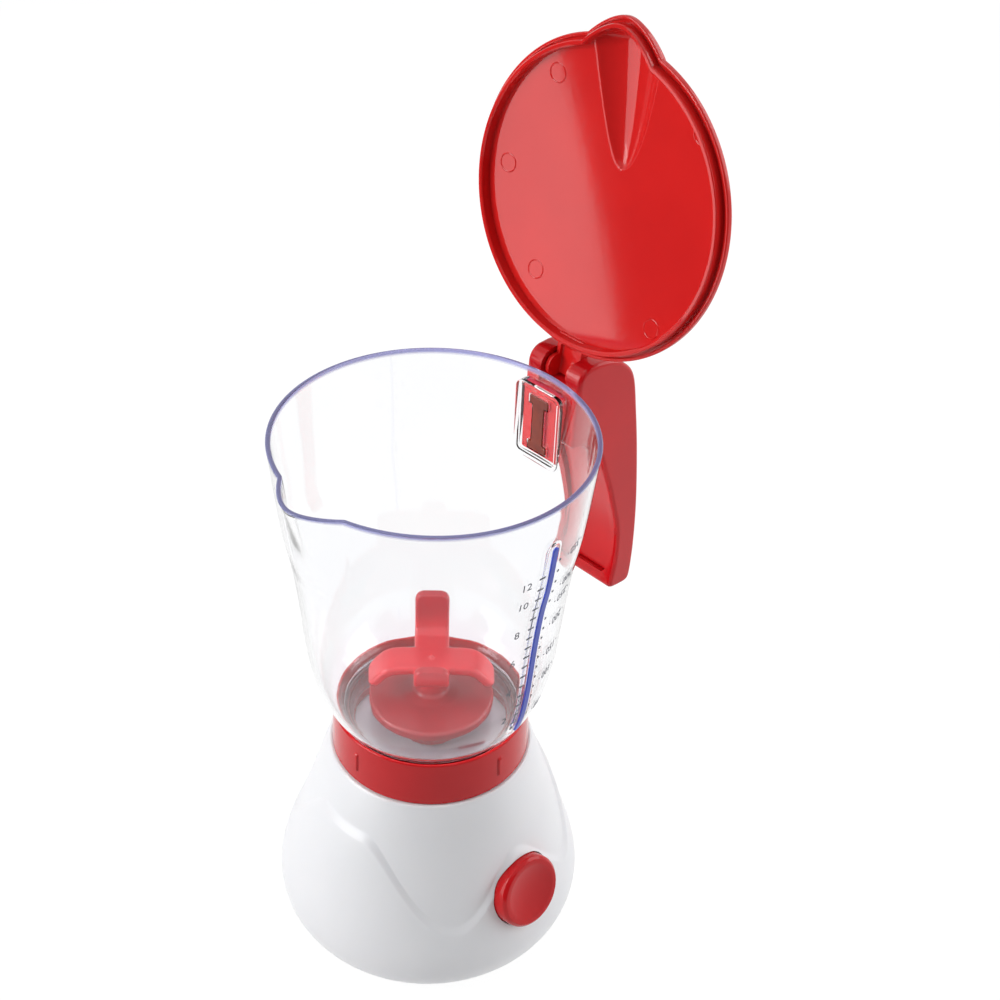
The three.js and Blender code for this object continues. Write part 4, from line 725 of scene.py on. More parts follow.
def jugRows(angles):
    top, wall, rounding = jug["rim"], jug["wall"], jug["rimRound"]
    low = [jug["foot"] + 0.4] + list(np.arange(jug["foot"] + 1, jug["stripLow"] - 2, 0.8))
    strip = list(np.arange(jug["stripLow"] - 1.8, jug["stripLow"] + 3, 0.2))
    middle = list(np.arange(strip[-1] + 1, jug["stripHigh"] - 3.5, 1.2))
    stripEnd = list(np.arange(jug["stripHigh"] - 3, jug["stripHigh"] + 2, 0.2))
    high = list(np.arange(stripEnd[-1] + 1, top - rounding - 0.4, 1.0)) + [top - rounding]
    heights = low + strip + middle + stripEnd + high
    rows = [(jugOuter(angles, z) + channelRise(angles, np.full(len(angles), z)), z) for z in heights]
    for turn in np.linspace(0.2, 1, 5) * math.pi / 2:
        rows.append((jugOuter(angles, top) - rounding * (1 - math.cos(turn)),
                     top - rounding * (1 - math.sin(turn))))
    for turn in np.linspace(0, 1, 6) * math.pi / 2:
        rows.append((jugOuter(angles, top) - wall + rounding * (1 - math.sin(turn)),
                     top - rounding * (1 - math.cos(turn))))
    floor, bend = jug["floor"], 2.2
    rows += [(jugOuter(angles, z) - wall, z) for z in np.arange(top - 1.6, floor + bend, -1.1)]
    foot = jugOuter(angles, floor + bend) - wall
    for turn in np.linspace(0, 1, 8) * math.pi / 2:
        rows.append((foot - bend * (1 - math.cos(turn)) - 0.2, floor + bend * (1 - math.sin(turn))))
    under = floor - jug["floorThickness"]
    rows += [(r, floor) for r in (26, 22, 16, 10, 6, jug["floorHole"] + 0.3)]
    rows += [(jug["floorHole"], floor - 0.3), (jug["floorHole"], under)]
    rows += [(r, under) for r in (6, 12, 18, 24)]
    rows += [(jug["neck"] - 0.8, under - 0.1), (jug["neck"], under - 0.9)]
    rows += [(jug["neck"], z) for z in (82, 79, jug["foot"] + 0.3)]
    rows += [(jug["neck"] + 0.3, jug["foot"]), (jugRadius(jug["foot"]) - 0.4, jug["foot"])]
    return rows


# Angles closer together at the spout and the strip
spoutAngles = list(np.arange(160, 200.01, 0.8))
stripAngles = list(np.arange(268, 277.01, 0.12))
plainAngles = [a for a in np.arange(0, 360, 1.6) if not (159.2 < a < 200.8 or 267.5 < a < 277.5)]
jugAngles = np.array(sorted(spoutAngles + stripAngles + plainAngles))
jugShell = roundBody("jug_shell", jugRows(jugAngles), jugAngles, 50)

pocket = {
    "innerX": 43, "half": 9.4, "low": 161, "high": 187.9, "wall": 1.4, "corner": 3,
    "border": 1.5, "proud": 0.6, "slotHeight": 20, "slotWidth": 5.2,
    "endWidth": 8.2, "endHeight": 3.4, "hookGap": 0.35, "hookTo": 45.2,
}


def upright(name, halfWidth, low, high, corner, fromX, toX, rounding=0.0):
    # a block seen along X, with rounded corners
    outline = oblong(-halfWidth, halfWidth, low, high, corner, 6)
    if rounding:
        return roundedSlab(name, outline, fromX, toX, rounding, lambda u, v, w: (w, u, v), 3)
    rings = [np.column_stack([np.full(len(outline), x), outline]) for x in (fromX, toX)]
    return ringed(name, rings, "flat")


def jugInside():
    # the space within the outer wall, a hair inside it
    angles = np.arange(0, 360, 3.0)
    rings = []
    turns = np.radians(angles)
    for z in np.linspace(150, 189.5, 30):
        radius, height = jugOuter(angles, z) - 0.35, np.full(len(angles), z)
        rings.append(np.column_stack([radius * np.cos(turns), radius * np.sin(turns), height]))
    return ringed("jugInside", rings, "flat")


p = pocket
boss = upright("boss", p["half"], p["low"], p["high"], p["corner"], p["innerX"], 50)
worked(boss, jugInside(), "INTERSECT")
border = upright("border", p["half"], p["low"], p["high"], p["corner"],
                 p["innerX"] - p["proud"], p["innerX"] + 0.5, 0.3)
opening = upright("opening", p["half"] - p["border"], p["low"] + p["border"], p["high"] - p["border"],
                  p["corner"] - p["border"], p["innerX"] - 2, p["innerX"])
carve(border, opening)
fuse(boss, border)
fuse(jugShell, boss)
room = upright("room", p["half"] - p["wall"], p["low"] + p["wall"], p["high"] - p["wall"], 1.2,
               p["innerX"] + p["wall"], 52)
carve(jugShell, room)
middle = (p["low"] + p["high"]) / 2


def slotOutline(gap):
    # the I-shaped slot; a gap makes the smaller outline of the hook
    half, end = p["slotHeight"] / 2 - gap, p["endHeight"] - 2 * gap
    stem, wide = p["slotWidth"] / 2 - gap, p["endWidth"] / 2 - gap
    right = [(wide, -half), (wide, end - half), (stem, end - half),
             (stem, half - end), (wide, half - end), (wide, half)]
    corners = right + [(-x, y) for x, y in right[::-1]]
    return roundCorners([(x, middle + y, 0.4) for x, y in corners], 3)


slot = slotOutline(0)
slotRings = [np.column_stack([np.full(len(slot), x), slot]) for x in (p["innerX"] - 2, p["innerX"] + 2)]
carve(jugShell, ringed("slotTool", slotRings, "flat"))
soften(jugShell, 50)
evenShading(jugShell)
dress(jugShell, "jug", "clear_plastic", "jug_body")
print("jug:", len(jugShell.data.polygons), "faces")


# Level strip in its channel, and the printed scale
def onJug(degrees, across, up, lift):
    # a flat place near an angle, laid on the jug's wall
    radius = jugOuter(np.full(np.shape(up), degrees, float), up) + lift
    turn = np.radians(degrees) + across / radius
    return radius * np.cos(turn), radius * np.sin(turn), up


strip = {
    "low": jug["stripLow"], "high": jug["stripHigh"], "half": 1.1, "from": 0.3, "to": 0.9, "rounding": 0.2,
}
s = strip
bend = s["half"] * (1 - np.cos(np.linspace(0.3, math.pi / 2, 7)))
straight = np.arange(s["low"] + 2, s["high"] - 1.6, 0.8)
stripRings = []
for z in np.concatenate([s["low"] + bend, straight, s["high"] - bend[::-1]]):
    left = min(z - s["low"], s["high"] - z, s["half"])
    side = math.sqrt(s["half"] ** 2 - (s["half"] - left) ** 2)
    section = oblong(-side, side, s["from"], s["to"], s["rounding"], 3)
    x, y, up = onJug(jug["stripAngle"], section[:, 0], np.full(len(section), z), section[:, 1])
    stripRings.append(np.column_stack([x, y, up]))
levelStrip = ringed("level_line", stripRings, "flat")
evenShading(levelStrip)
dress(levelStrip, "jug", "blue_plastic", "level_strip")

printing = {
    "ounces": {"12": 164.9, "10": 157.2, "8": 145.0, "6": 133.2, "4": 120.6, "2": 108.2},
    "ouncesAngle": -98.3,
    "millilitres": {"350": 168.3, "300": 156.5, "250": 149.5, "200": 140.4, "150": 127.9, "100": 117.8,
                    "50": 103.4},
    "millilitresAngle": -72.0,
    "size": 3.9, "lift": 0.02, "thickness": 0.05,
    "dashHeights": [165.8, 161.4, 157.4, 153.3, 149.2, 145.2, 141.2, 137.2, 133.3, 129.3, 125.2, 121.0, 116.9,
                    112.7, 108.5, 104.6],
    "dashAngle": -91.2, "dashLength": 2.4, "dashWidth": 0.75,
    "dotAngle": -82.6, "dotRadius": 0.5, "dotHeights": [168.9, 164.6, 160.4, 156.4, 152.4],
}


def word(text, degrees, height, over=1):
    # a number turned into a thin body on the wall
    curve = bpy.data.curves.new("number", "FONT")
    curve.body = text
    curve.size = printing["size"]
    curve.align_x = "CENTER"
    curve.align_y = "CENTER"
    curve.extrude = printing["thickness"] / 2
    curve.resolution_u = 3
    flat = placed("number", curve)
    bpy.context.view_layer.update()
    mesh = bpy.data.meshes.new_from_object(flat.evaluated_get(bpy.context.evaluated_depsgraph_get()))
    bpy.data.objects.remove(flat)
    spots = np.array([v.co for v in mesh.vertices]) * (over, over, 1)
    lift = printing["lift"] + printing["thickness"] / 2 + spots[:, 2]
    x, y, z = onJug(degrees, spots[:, 0], height + spots[:, 1], lift)
    for vertex, place in zip(mesh.vertices, np.column_stack([x, y, z]) * mm):
        vertex.co = place
    weld = bmesh.new()
    weld.from_mesh(mesh)
    bmesh.ops.remove_doubles(weld, verts=weld.verts, dist=1e-6)
    weld.to_mesh(mesh)
    weld.free()
    return placed("number", mesh)


def printedPatch(degrees, height, outline):
    low = printing["lift"]
    return roundedSlab("patch", outline, low, low + printing["thickness"], 0.01,
                       lambda u, v, w: onJug(degrees, u, v + height, w), 1)


marks = []
for text, height in printing["ounces"].items():
    marks.append(word(text, printing["ouncesAngle"], height))
for text, height in printing["millilitres"].items():
    marks.append(word(text, printing["millilitresAngle"], height, -1))
dashHalf, dashSide = printing["dashLength"] / 2, printing["dashWidth"] / 2
dash = oblong(-dashHalf, dashHalf, -dashSide, dashSide, 0.3, 3)
dot = [(printing["dotRadius"] * math.cos(t), printing["dotRadius"] * math.sin(t))
       for t in np.linspace(0, 2 * math.pi, 12, endpoint=False)]
smallDot = [(x * 0.6, y * 0.6) for x, y in dot]
for text, height in printing["millilitres"].items():
    reach = 0.3 * printing["size"] * len(text) + 0.7
    for side in (-reach, reach):
        marks.append(printedPatch(printing["millilitresAngle"], height, [(x + side, y) for x, y in smallDot]))
for height in printing["dashHeights"]:
    marks.append(printedPatch(printing["dashAngle"], height, dash))
for height in printing["dotHeights"] + printing["dashHeights"][5:]:
    marks.append(printedPatch(printing["dotAngle"], height, dot))
scaleMarks = joinAll("scale_marks", marks)
inkLook = {"colour": srgb(72, 74, 84), "second": srgb(96, 98, 108), "gloss": (0.4, 0.55), "patch": 3}
dress(scaleMarks, "jug", "black_plastic", material=moulded("scale_ink", inkLook))
print("strip and scale:", len(scaleMarks.data.polygons), "faces")


# Red rotor: disc, hub and four bent arms melted into one skin
rotor = {
    "disc": 20, "discBottom": 88.4, "discThickness": 3.2, "crown": 1.2, "wall": 1.6,
    "hub": 5.5, "hubTop": 107.6, "socket": 4.8, "armWidth": 11, "armThickness": 3, "armLevel": 104.8,
    "tipLength": 3, "tipShare": 0.62, "droopReach": 20.5, "droopTip": 97.4,
    "droopAngles": (136.7, -43.3), "bend": 4,
    "upArms": [{"angle": -133.3, "reach": 14, "tip": 112.4}, {"angle": 46.7, "reach": 15.5, "tip": 120.8}],
    "bore": 1.8, "boreTop": 103.3, "voxel": 0.32,
}
r = rotor
discTop = r["discBottom"] + r["discThickness"]
discInside, ceiling = r["disc"] - r["wall"], discTop - r["wall"]
discOutline = roundCorners([
    (r["hub"] - 0.35, r["hubTop"], 1.3), (r["hub"] - 0.2, discTop + 2.4, 1.6),
    (r["hub"] + r["wall"] + 1.8, discTop + r["crown"] * 0.95, 5), (r["disc"] - 1.9, discTop + 0.15, 1.5),
    (r["disc"], discTop, 1.2), (r["disc"], r["discBottom"], 0.3), (discInside, r["discBottom"], 0.2),
    (discInside, ceiling, 0.5), (r["hub"], ceiling, 0.5), (r["hub"], r["discBottom"], 0.2),
    (r["socket"], r["discBottom"], 0.2), (r["socket"], discTop, 0.3),
], 6)
rotorPieces = [turned("rotorDisc", [(0, r["hubTop"]), *discOutline, (0, discTop)], 96)]


def rotorArm(points, degrees):
    # a strap of rounded section along a bent line in X and Z, its tip rounded in plan
    line = evenly(curveThrough(points, 40), 0.5)
    along = np.gradient(line, axis=0)
    along /= np.linalg.norm(along, axis=1, keepdims=True)
    across = np.column_stack([-along[:, 1], along[:, 0]])
    length = np.concatenate([[0], np.cumsum(np.linalg.norm(np.diff(line, axis=0), axis=1))])
    halfWidth, halfThick = r["armWidth"] / 2, r["armThickness"] / 2
    rings = []
    for i, (x, z) in enumerate(line):
        left = min(1, (length[-1] - length[i]) / r["tipLength"])
        narrow = r["tipShare"] + (1 - r["tipShare"]) * math.sqrt(max(0, 1 - (1 - left) ** 2))
        section = oblong(-halfWidth * narrow, halfWidth * narrow, -halfThick, halfThick, 1.0, 5)
        rings.append(np.column_stack([x + across[i, 0] * section[:, 1], section[:, 0],
                                      z + across[i, 1] * section[:, 1]]))
    arm = ringed("arm", rings, "flat")
    arm.data.transform(Matrix.Rotation(math.radians(degrees), 4, "Z"))
    return arm


level, thick = r["armLevel"], r["armThickness"]
for degrees in r["droopAngles"]:
    rotorPieces.append(rotorArm([
        (0, level), (r["droopReach"] / 3, level), (r["droopReach"] * 2 / 3, level - thick / 3),
        (r["droopReach"] - thick / 2, r["droopTip"] + 0.4)], degrees))
for arm in r["upArms"]:
    reach = arm["reach"] - thick / 2
    rotorPieces.append(rotorArm([
        (0, level), (reach - r["bend"], level), (reach - thick / 2, level + r["bend"] / 4),
        (reach, level + r["bend"]), (reach, arm["tip"])], arm["angle"]))
bladeRotor = joinAll("bladed_rotor", rotorPieces)
melted(bladeRotor, r["voxel"], 0.5, 3)
bore = turned("bore", [(0, 86), (r["bore"], 86), (r["bore"], r["boreTop"]), (0, r["boreTop"])], 32)
carve(bladeRotor, bore)
evenShading(bladeRotor)
dress(bladeRotor, "blade", "blade_plastic", "blade_rotor")
print("rotor:", len(bladeRotor.data.polygons), "faces")


# Handle: a hollow bent grip, its own curve drawn once
handle = {
    "origin": (48.5, 195.5), "width": 34.7, "height": 96.1, "half": 11, "edge": 1.5,
    "ear": 5.25, "pivot": (53.8, 190.25), "cornerTurn": 0.45, "softReach": 3.5, "softRounds": 34,
    "shoulder": [(0.245, 0), (0.42, 0.012), (0.62, 0.052)],
    "outer": [(0.758, 0.1176), (0.839, 0.261), (0.9135, 0.434), (0.98, 0.6545), (1, 0.8335), (0.9856, 0.962)],
    "foot": [(0.965, 1.008)],
    "inner": [(0.66, 0.997), (0.7205, 0.869), (0.706, 0.7336), (0.588, 0.585), (0.464, 0.46), (0.3545, 0.359),
              (0.19, 0.304)],
    "panelFrom": 0.078, "panelTo": 0.887, "panelHalf": 7.5, "panelDepth": 3.7,
    "coverFrom": 1.8, "coverTo": 3.4, "coverHalf": 7.2,
    "armSlotX": 58.7, "armSlotHalf": 5.3, "armSlotLow": 186.35, "stub": 2.1, "stubReach": 7.9,
    "neck": ((45.9, -3.2, 169.1), (51.7, 3.2, 186.0)), "tongue": ((44.7, -7.6, 162.7), (47.1, 7.6, 186.2)),
}
h = handle
pivot = Matrix.Translation(Vector((h["pivot"][0], 0, h["pivot"][1])) * mm)
alongPin = pivot @ Matrix.Rotation(math.pi / 2, 4, "X")


def handleAt(share):
    return (h["origin"][0] + h["width"] * share[0], h["origin"][1] - h["height"] * share[1])


top = handleAt((0, 0.291))
earArc = [(h["pivot"][0] - h["ear"] * math.cos(t), h["pivot"][1] + h["ear"] * math.sin(t))
          for t in np.linspace(0, math.pi / 2, 10)]
outerLine = curveThrough([handleAt(s) for s in h["shoulder"] + h["outer"] + h["foot"]], 90)
innerLine = curveThrough([handleAt(s) for s in h["inner"]] + [top], 90)
handleLine = np.vstack([[top], earArc[:-1], outerLine, innerLine[:-1]])
gripOutline = evenly(handleLine, 0.5, closed=True)

# Its corners melt into the curves beside them
before = gripOutline - np.roll(gripOutline, 1, axis=0)
after = np.roll(gripOutline, -1, axis=0) - gripOutline
cross = before[:, 0] * after[:, 1] - before[:, 1] * after[:, 0]
turning = np.abs(np.arctan2(cross, (before * after).sum(axis=1)))
corners = gripOutline[turning > h["cornerTurn"]]
nearest = np.linalg.norm(gripOutline[:, None] - corners[None], axis=2).min(axis=1)
softLine = gripOutline
for _ in range(h["softRounds"]):
    softLine = (np.roll(softLine, 1, axis=0) + 2 * softLine + np.roll(softLine, -1, axis=0)) / 4
soft = 1 - ease((nearest - h["softReach"]) / h["softReach"])
gripOutline = gripOutline + (softLine - gripOutline) * soft[:, None]


def sideways(u, v, level):
    # an outline in X and Z drawn out along Y
    return u, level, v


grip = roundedSlab("handle_grip", gripOutline, -h["half"], h["half"], h["edge"], sideways, 8)

panelSteps = 200
panelLine = evenly(curveThrough([handleAt(q) for q in h["inner"]], panelSteps)[
    round(panelSteps * h["panelFrom"]):round(panelSteps * h["panelTo"]) + 1], 0.25)
panelAlong = np.gradient(panelLine, axis=0)
panelAlong /= np.linalg.norm(panelAlong, axis=1, keepdims=True)
panelInto = np.column_stack([panelAlong[:, 1], -panelAlong[:, 0]])
if panelInto[len(panelInto) // 2] @ (1, 0.6) < 0:
    panelInto = -panelInto
panelLength = np.concatenate([[0], np.cumsum(np.linalg.norm(np.diff(panelLine, axis=0), axis=1))])


def panelBlock(name, half, low, high, ends, rounding, shrink=0.0):
    # a strip swept along the grip's inner curve between two depths, rounded as seen from the jug
    reach = max(ends, rounding)
    total = panelLength[-1] - 2 * shrink
    turn = reach * (1 - np.cos(np.linspace(0, math.pi / 2, 10)))
    plain = np.arange(reach + 0.8, total - reach - 0.4, 0.8)
    rings = []
    for mark in np.concatenate([turn, plain, (total - turn)[::-1]]):
        left = min(mark, total - mark)
        side, lift = [size - math.sqrt(size ** 2 - max(0, size - left) ** 2) for size in (ends, rounding)]
        section = oblong(low + lift, high - lift, side - half, half - side, rounding, 4)
        spot = [np.interp(mark + shrink, panelLength, values) for values in (*panelLine.T, *panelInto.T)]
        rings.append(np.column_stack([spot[0] + spot[2] * section[:, 0], section[:, 1],
                                      spot[1] + spot[3] * section[:, 0]]))
    return ringed(name, rings, "flat")


carve(grip, panelBlock("recess", h["panelHalf"], -3, h["panelDepth"], 2.2, 0.3))
carve(grip, box("armSlot", (40, -h["armSlotHalf"], h["armSlotLow"]),
                (h["armSlotX"], h["armSlotHalf"], 200), 0.6))
stub, reach = h["stub"], h["stubReach"]
stubHole = turned("stubHole", [(0, -reach), (stub, -reach), (stub, reach), (0, reach)], 32)
stubHole.data.transform(alongPin)
carve(grip, stubHole)
for name in ("neck", "tongue"):
    fuse(grip, box(name, *h[name], 0.8))
evenShading(grip)
dress(grip, "jug", "red_plastic", "handle_shell")

# painted shade: the hook is red plastic like the grip, coloured dark brown for the shade it sits in within
# the jug's slot
shadedHookLook = {"colour": srgb(124, 38, 8), "second": srgb(104, 28, 6), "gloss": (0.3, 0.4), "patch": 5}
hook = roundedSlab("handle_hook", slotOutline(p["hookGap"]), p["innerX"] - 0.2, p["hookTo"], 0.25,
                   lambda u, v, w: (w, u, v), 3)
evenShading(hook)
dress(hook, "jug", "red_plastic", material=moulded("hook_painted_shade", shadedHookLook))

cover = panelBlock("handle_panel", h["coverHalf"], h["coverFrom"], h["coverTo"], 1.9, 0.35, 0.3)
evenShading(cover)
dress(cover, "jug", "red_plastic", "handle_cover")
print("handle:", len(grip.data.polygons), "faces")


# Lid: one closed skin over a polar grid, drawn shut and then turned open
lid = {
    "under": 190.8, "top": 193.0, "crown": 1.9, "radius": 47.2, "reach": 6, "edge": 0.8,
    "grooveFrom": 1.1, "grooveDepth": 0.7, "lipFrom": 2.0, "lipTo": 3.5, "lipBottom": 188.2,
    "dishEdge": 0.8, "dish": 2.4, "dishRadius": 44, "tip": -11, "troughHalf": 2.1, "troughHigh": 1.0,
    "lean": (-1.5, -5), "leanLength": 32,
    "limit": 2.2, "limitSlope": 1.057, "wall": 1.2, "open": 98.3,
    "rings": [(-30.6, 22.8), (1.1, 36.8), (29.1, 19.6), (-30, -31.1), (29.3, -27.1)],
    "ringRadius": 2.8, "ringTube": 0.3, "ringProud": 0.14,
}
d = lid


def lidRadius(degrees):
    return d["radius"] + beak(degrees, d["reach"])


def rounded(value, width):
    # zero below, straight above, rounded between
    return np.where(value < -width, 0, np.where(value > width, value, (value + width) ** 2 / (4 * width)))


def hollowRise(x, y, inset, grow):
    # underside of the plate: a shallow dish and the pouring trough; grow widens the trough for the outer skin
    dish = d["dishEdge"] + d["dish"] * (1 - np.clip(np.hypot(x, y) / d["dishRadius"], 0, 1) ** 2)
    along = np.maximum(d["tip"] + grow - x, 1e-6)
    half = d["troughHalf"] * np.sqrt(along) + grow * 0.6
    lean = np.interp((x + d["dishRadius"]) / d["leanLength"], (0, 1), d["lean"])
    trough = d["troughHigh"] * np.sqrt(along) * (1 - (np.abs(y - lean) / half) ** 2.2)
    cap = np.maximum(d["limit"] + d["limitSlope"] * (inset - d["lipTo"] + grow * 0.6), 0)
    return dish, np.minimum(rounded(trough, 0.3), cap) * (along > 1e-5)


def lidUnder(x, y, inset):
    dish, trough = hollowRise(x, y, inset, 0)
    return d["under"] + dish + trough


def lidTop(x, y, inset):
    plate = d["top"] + d["crown"] * (1 - np.clip(np.hypot(x, y) / d["radius"], 0, 1) ** 2) * ease(inset / 8)
    dish, trough = hollowRise(x, y, inset + d["wall"], d["wall"])
    return np.maximum(plate, np.where(trough > 0, d["under"] + dish + trough + d["wall"] * 0.8, 0))


beakAngles = list(np.arange(140, 220.01, 0.5))
roundAngles = [a for a in np.arange(0, 360, 1.5) if a < 139.5 or a > 220.5]
lidAngles = np.array(sorted(beakAngles + roundAngles))
turns = np.radians(lidAngles)
edgeRadius = lidRadius(lidAngles)


def lidRing(inset=None, share=None, height=None, surface=None):
    radius = edgeRadius - inset if inset is not None else (edgeRadius - d["lipTo"]) * share
    x, y = radius * np.cos(turns), radius * np.sin(turns)
    depth = edgeRadius - radius
    z = surface(x, y, depth) if surface else np.full(len(turns), height)
    return np.column_stack([x, y, z])


lidRings = []
for share in np.linspace(0.004, 1, 84):
    lidRings.append(lidRing(share=share, surface=lidUnder))
lidRings.append(lidRing(inset=d["lipTo"] - 0.02, height=d["under"] - 0.4))
lidRings.append(lidRing(inset=d["lipTo"] - 0.05, height=d["lipBottom"] + 0.35))
for t in np.linspace(0, 1, 4)[1:]:
    lidRings.append(lidRing(inset=d["lipTo"] - 0.35 * t - 0.05, height=d["lipBottom"] + 0.35 * (1 - t)))
lidRings.append(lidRing(inset=d["lipFrom"] + 0.3, height=d["lipBottom"]))
lidRings.append(lidRing(inset=d["lipFrom"], height=d["lipBottom"] + 0.3))
lidRings.append(lidRing(inset=d["lipFrom"], height=d["under"] + d["grooveDepth"]))
lidRings.append(lidRing(inset=d["grooveFrom"], height=d["under"] + d["grooveDepth"]))
lidRings.append(lidRing(inset=d["grooveFrom"], height=d["under"] + 0.1))
lidRings.append(lidRing(inset=d["grooveFrom"] - 0.15, height=d["under"]))
for t in np.linspace(0, 1, 5) * math.pi / 2:
    lidRings.append(lidRing(inset=0.5 * (1 - math.sin(t)), height=d["under"] + 0.5 * (1 - math.cos(t))))
for t in np.linspace(0, 1, 7) * math.pi / 2:
    lidRings.append(lidRing(inset=d["edge"] * (1 - math.cos(t)),
                            height=d["top"] - d["edge"] * (1 - math.sin(t)) - 0.02))
for inset in np.linspace(1.2, d["lipTo"], 6):
    lidRings.append(lidRing(inset=inset, surface=lidTop))
for share in np.linspace(1, 0.004, 84)[1:]:
    lidRings.append(lidRing(share=share, surface=lidTop))
lidShell = ringed("lid_plate", lidRings, "middle", 44)
moulds = [lidShell]
for rx, ry in d["rings"]:
    # shallow round marks of the mould
    turn = np.linspace(0, 2 * math.pi, 56, endpoint=False)
    x, y = rx + d["ringRadius"] * np.cos(turn), ry + d["ringRadius"] * np.sin(turn)
    middle = lidUnder(x, y, np.full(len(x), 20.0)) + d["ringTube"] - d["ringProud"]
    tube = []
    for q in np.linspace(0, 2 * math.pi, 8, endpoint=False):
        out, up = d["ringTube"] * math.cos(q), d["ringTube"] * math.sin(q)
        tube.append(np.column_stack([x + out * np.cos(turn), y + out * np.sin(turn), middle + up]))
    moulds.append(ringed("mark", tube, "wrap"))
lidShell = joinAll("lid_shell", moulds)
soften(lidShell, 44)

armBlock = {
    "from": 43.2, "to": 53.8, "half": 5, "low": 190.8, "high": 193.95, "barrel": 3.6, "stub": 1.8,
    "stubReach": 7.6, "channelHalf": 3.5, "channelFrom": 46.7, "channelTo": 60, "channelTop": 192.15,
}
a = armBlock
lidArm = box("lid_arm", (a["from"], -a["half"], a["low"]), (a["to"], a["half"], a["high"]), 0.4)
for name, radius, reach in (("barrel", a["barrel"], a["half"]), ("stub", a["stub"], a["stubReach"])):
    side = roundCorners([(radius / 2, -reach, 0), (radius, -reach, 0.3), (radius, reach, 0.3),
                         (radius / 2, reach, 0)], 4, closed=False)
    rod = turned(name, [(0, -reach), *side, (0, reach)], 64)
    rod.data.transform(alongPin)
    fuse(lidArm, rod)
carve(lidArm, box("channel", (a["channelFrom"], -a["channelHalf"], 180),
                  (a["channelTo"], a["channelHalf"], a["channelTop"]), 0.5))
opened = pivot @ Matrix.Rotation(math.radians(d["open"]), 4, "Y") @ pivot.inverted()
for piece in (lidShell, lidArm):
    piece.data.transform(opened)
    evenShading(piece)
# painted light: the lid and its arm take the lighter copy of the red plastic
dress(lidShell, "lid", "red_plastic", "lid", material=finishes["lid_lit_plastic"])
dress(lidArm, "lid", "red_plastic", material=finishes["lid_lit_plastic"])
print("lid:", len(lidShell.data.polygons), "faces")


# Floor, white surroundings and lamps, with places in metres
studio = {
    "ambient": 0.27, "floorLight": 0.7, "floorSeen": 0.1, "floorGlow": 0.95, "floorGloss": (0.85, 0.95),
    "floorHalf": 40, "lampsAim": (0, 0, 0.1), "cardSteps": 8,
    "lamps": {
        "key": {"place": (-0.881, 0.509, 0.736), "size": 0.8, "power": 1.6},
        "back": {"place": (-0.509, 0.881, 0.736), "size": 0.8, "power": 1.1},
        "left": {"place": (-0.957, 0.256, 0.239), "size": 0.5, "power": 1.8},
        "side": {"place": (0.717, -0.855, 0.378), "size": 0.7, "power": 5.3, "mirrored": False},
        "right": {"place": (1.022, -0.372, 0.607), "size": 0.7, "power": 3.6},
        "top": {"place": (0.15, 0.2, 1.4), "size": 0.7, "power": 2.6},
        "lidward": {"place": (-0.5, 0.25, 0.45), "size": 0.3, "power": 1.8},
    },
    "cards": {
        "bright_card": {"from": 140.1, "to": 175, "distance": 0.62, "low": 0.0, "high": 0.42, "glow": 3.6},
        "dark_card": {"from": 105, "to": 140.0, "distance": 0.62, "low": 0.0, "high": 0.42, "glow": 0.1},
        "front_card": {"from": 177, "to": 277, "distance": 0.9, "low": 0.05, "high": 1.1, "glow": 0.15,
                       "shades": True},
    },
}


def seenDirectly(tree):
    # one for camera, glossy and transmission rays
    path = tree.nodes.new("ShaderNodeLightPath")
    total = path.outputs["Is Camera Ray"]
    for name in ("Is Glossy Ray", "Is Transmission Ray"):
        either = tree.nodes.new("ShaderNodeMath")
        either.operation = "MAXIMUM"
        tree.links.new(total, either.inputs[0])
        tree.links.new(path.outputs[name], either.inputs[1])
        total = either.outputs[0]
    return total


def shining(tree, strength):
    glow = tree.nodes.new("ShaderNodeEmission")
    glow.inputs["Color"].default_value = (1, 1, 1, 1)
    glow.inputs["Strength"].default_value = strength
    return glow.outputs[0]


def pickShader(tree, first, second, output):
    chooser = tree.nodes.new("ShaderNodeMixShader")
    tree.links.new(seenDirectly(tree), chooser.inputs[0])
    tree.links.new(first.outputs[0], chooser.inputs[1])
    tree.links.new(second.outputs[0], chooser.inputs[2])
    tree.links.new(chooser.outputs[0], tree.nodes[output].inputs["Surface"])


world = bpy.data.worlds.new("white_room")
scene.world = world
world.use_nodes = True
roomTree = world.node_tree
ambient = roomTree.nodes["Background"]
ambient.inputs["Color"].default_value = (1, 1, 1, 1)
ambient.inputs["Strength"].default_value = studio["ambient"]
backdrop = roomTree.nodes.new("ShaderNodeBackground")
backdrop.inputs["Color"].default_value = (1, 1, 1, 1)
backdrop.inputs["Strength"].default_value = 1.0
pickShader(roomTree, ambient, backdrop, "World Output")

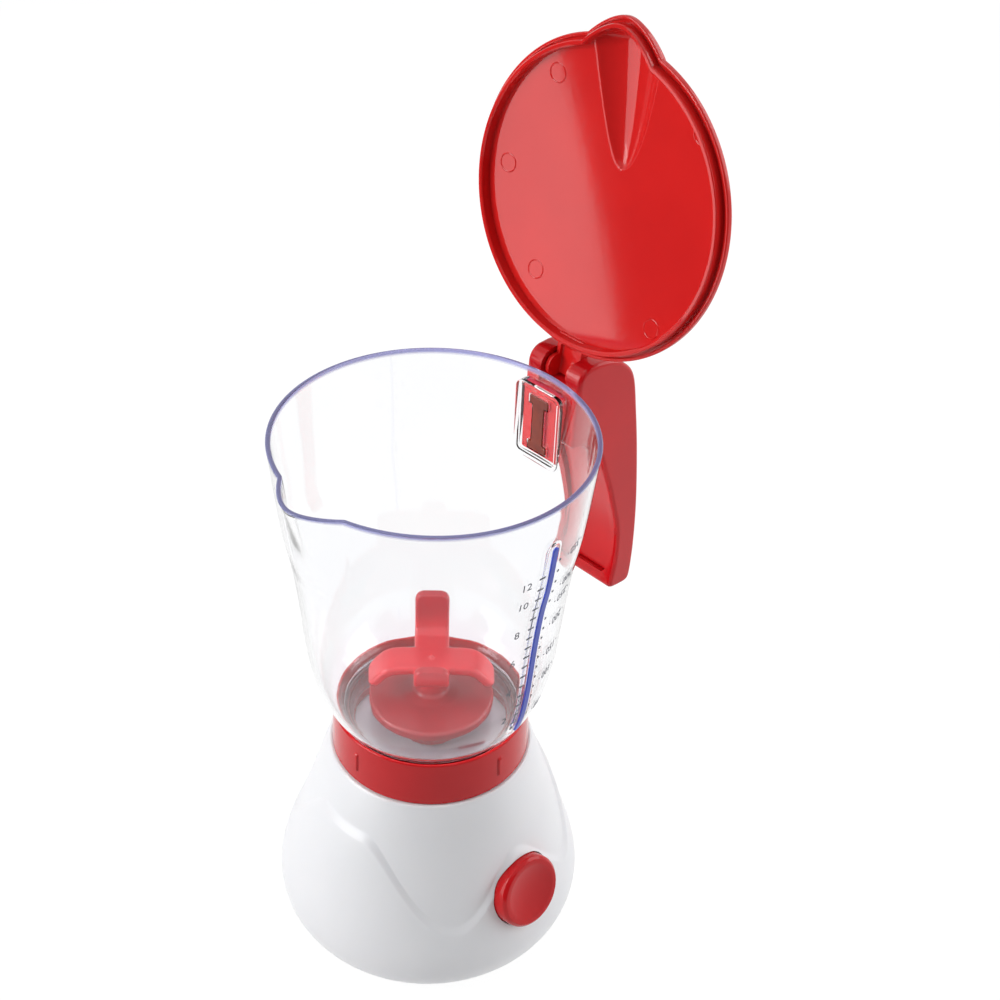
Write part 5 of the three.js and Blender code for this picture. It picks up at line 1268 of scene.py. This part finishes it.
floorMaterial, floorTree, floorShader = newMaterial("pale_floor")
level = studio["floorLight"]
floorShader.inputs["Base Color"].default_value = (level, level, level, 1)
floorShader.inputs["Specular IOR Level"].default_value = 0.0
worn = spread(floorTree, grain(floorTree, 300, 2), *studio["floorGloss"])
floorTree.links.new(worn, floorShader.inputs["Roughness"])
level = studio["floorSeen"]
paper = floorTree.nodes.new("ShaderNodeBsdfDiffuse")
paper.inputs["Color"].default_value = (level, level, level, 1)
adder = floorTree.nodes.new("ShaderNodeAddShader")
floorTree.links.new(paper.outputs[0], adder.inputs[0])
floorTree.links.new(shining(floorTree, studio["floorGlow"]), adder.inputs[1])
pickShader(floorTree, floorShader, adder, "Material Output")
floorMesh = bpy.data.meshes.new("floor")
side = studio["floorHalf"]
floorCorners = [(-side, -side, 0), (side, -side, 0), (side, side, 0), (-side, side, 0)]
floorMesh.from_pydata(floorCorners, [], [(0, 1, 2, 3)])
floorMesh.materials.append(floorMaterial)
placed("floor", floorMesh)

for name, look in studio["lamps"].items():
    light = bpy.data.lights.new(name, "AREA")
    light.energy = look["power"]
    light.shape = "SQUARE"
    light.size = look["size"]
    lamp = placed(name, light)
    lamp.location = look["place"]
    lamp.rotation_euler = (Vector(studio["lampsAim"]) - lamp.location).to_track_quat("-Z", "Y").to_euler()
    lamp.visible_glossy = look.get("mirrored", True)

# Cards out of the camera's sight, which the lid, collar and housing mirror; one also shades the near side
steps = studio["cardSteps"]
for name, look in studio["cards"].items():
    cardMaterial, cardTree, _ = newMaterial(name)
    cardTree.links.new(shining(cardTree, look["glow"]), cardTree.nodes["Material Output"].inputs["Surface"])
    spots = []
    for height in (look["low"], look["high"]):
        for degrees in np.linspace(look["from"], look["to"], steps + 1):
            turn = math.radians(degrees)
            spots.append((look["distance"] * math.cos(turn), look["distance"] * math.sin(turn), height))
    cardMesh = bpy.data.meshes.new(name)
    cardMesh.from_pydata(spots, [], [(i, i + 1, i + steps + 2, i + steps + 1) for i in range(steps)])
    cardMesh.materials.append(cardMaterial)
    card = placed(name, cardMesh)
    card.visible_camera = False
    card.visible_transmission = False
    card.visible_shadow = False
    card.visible_diffuse = look.get("shades", False)

scene.view_settings.view_transform = "Standard"
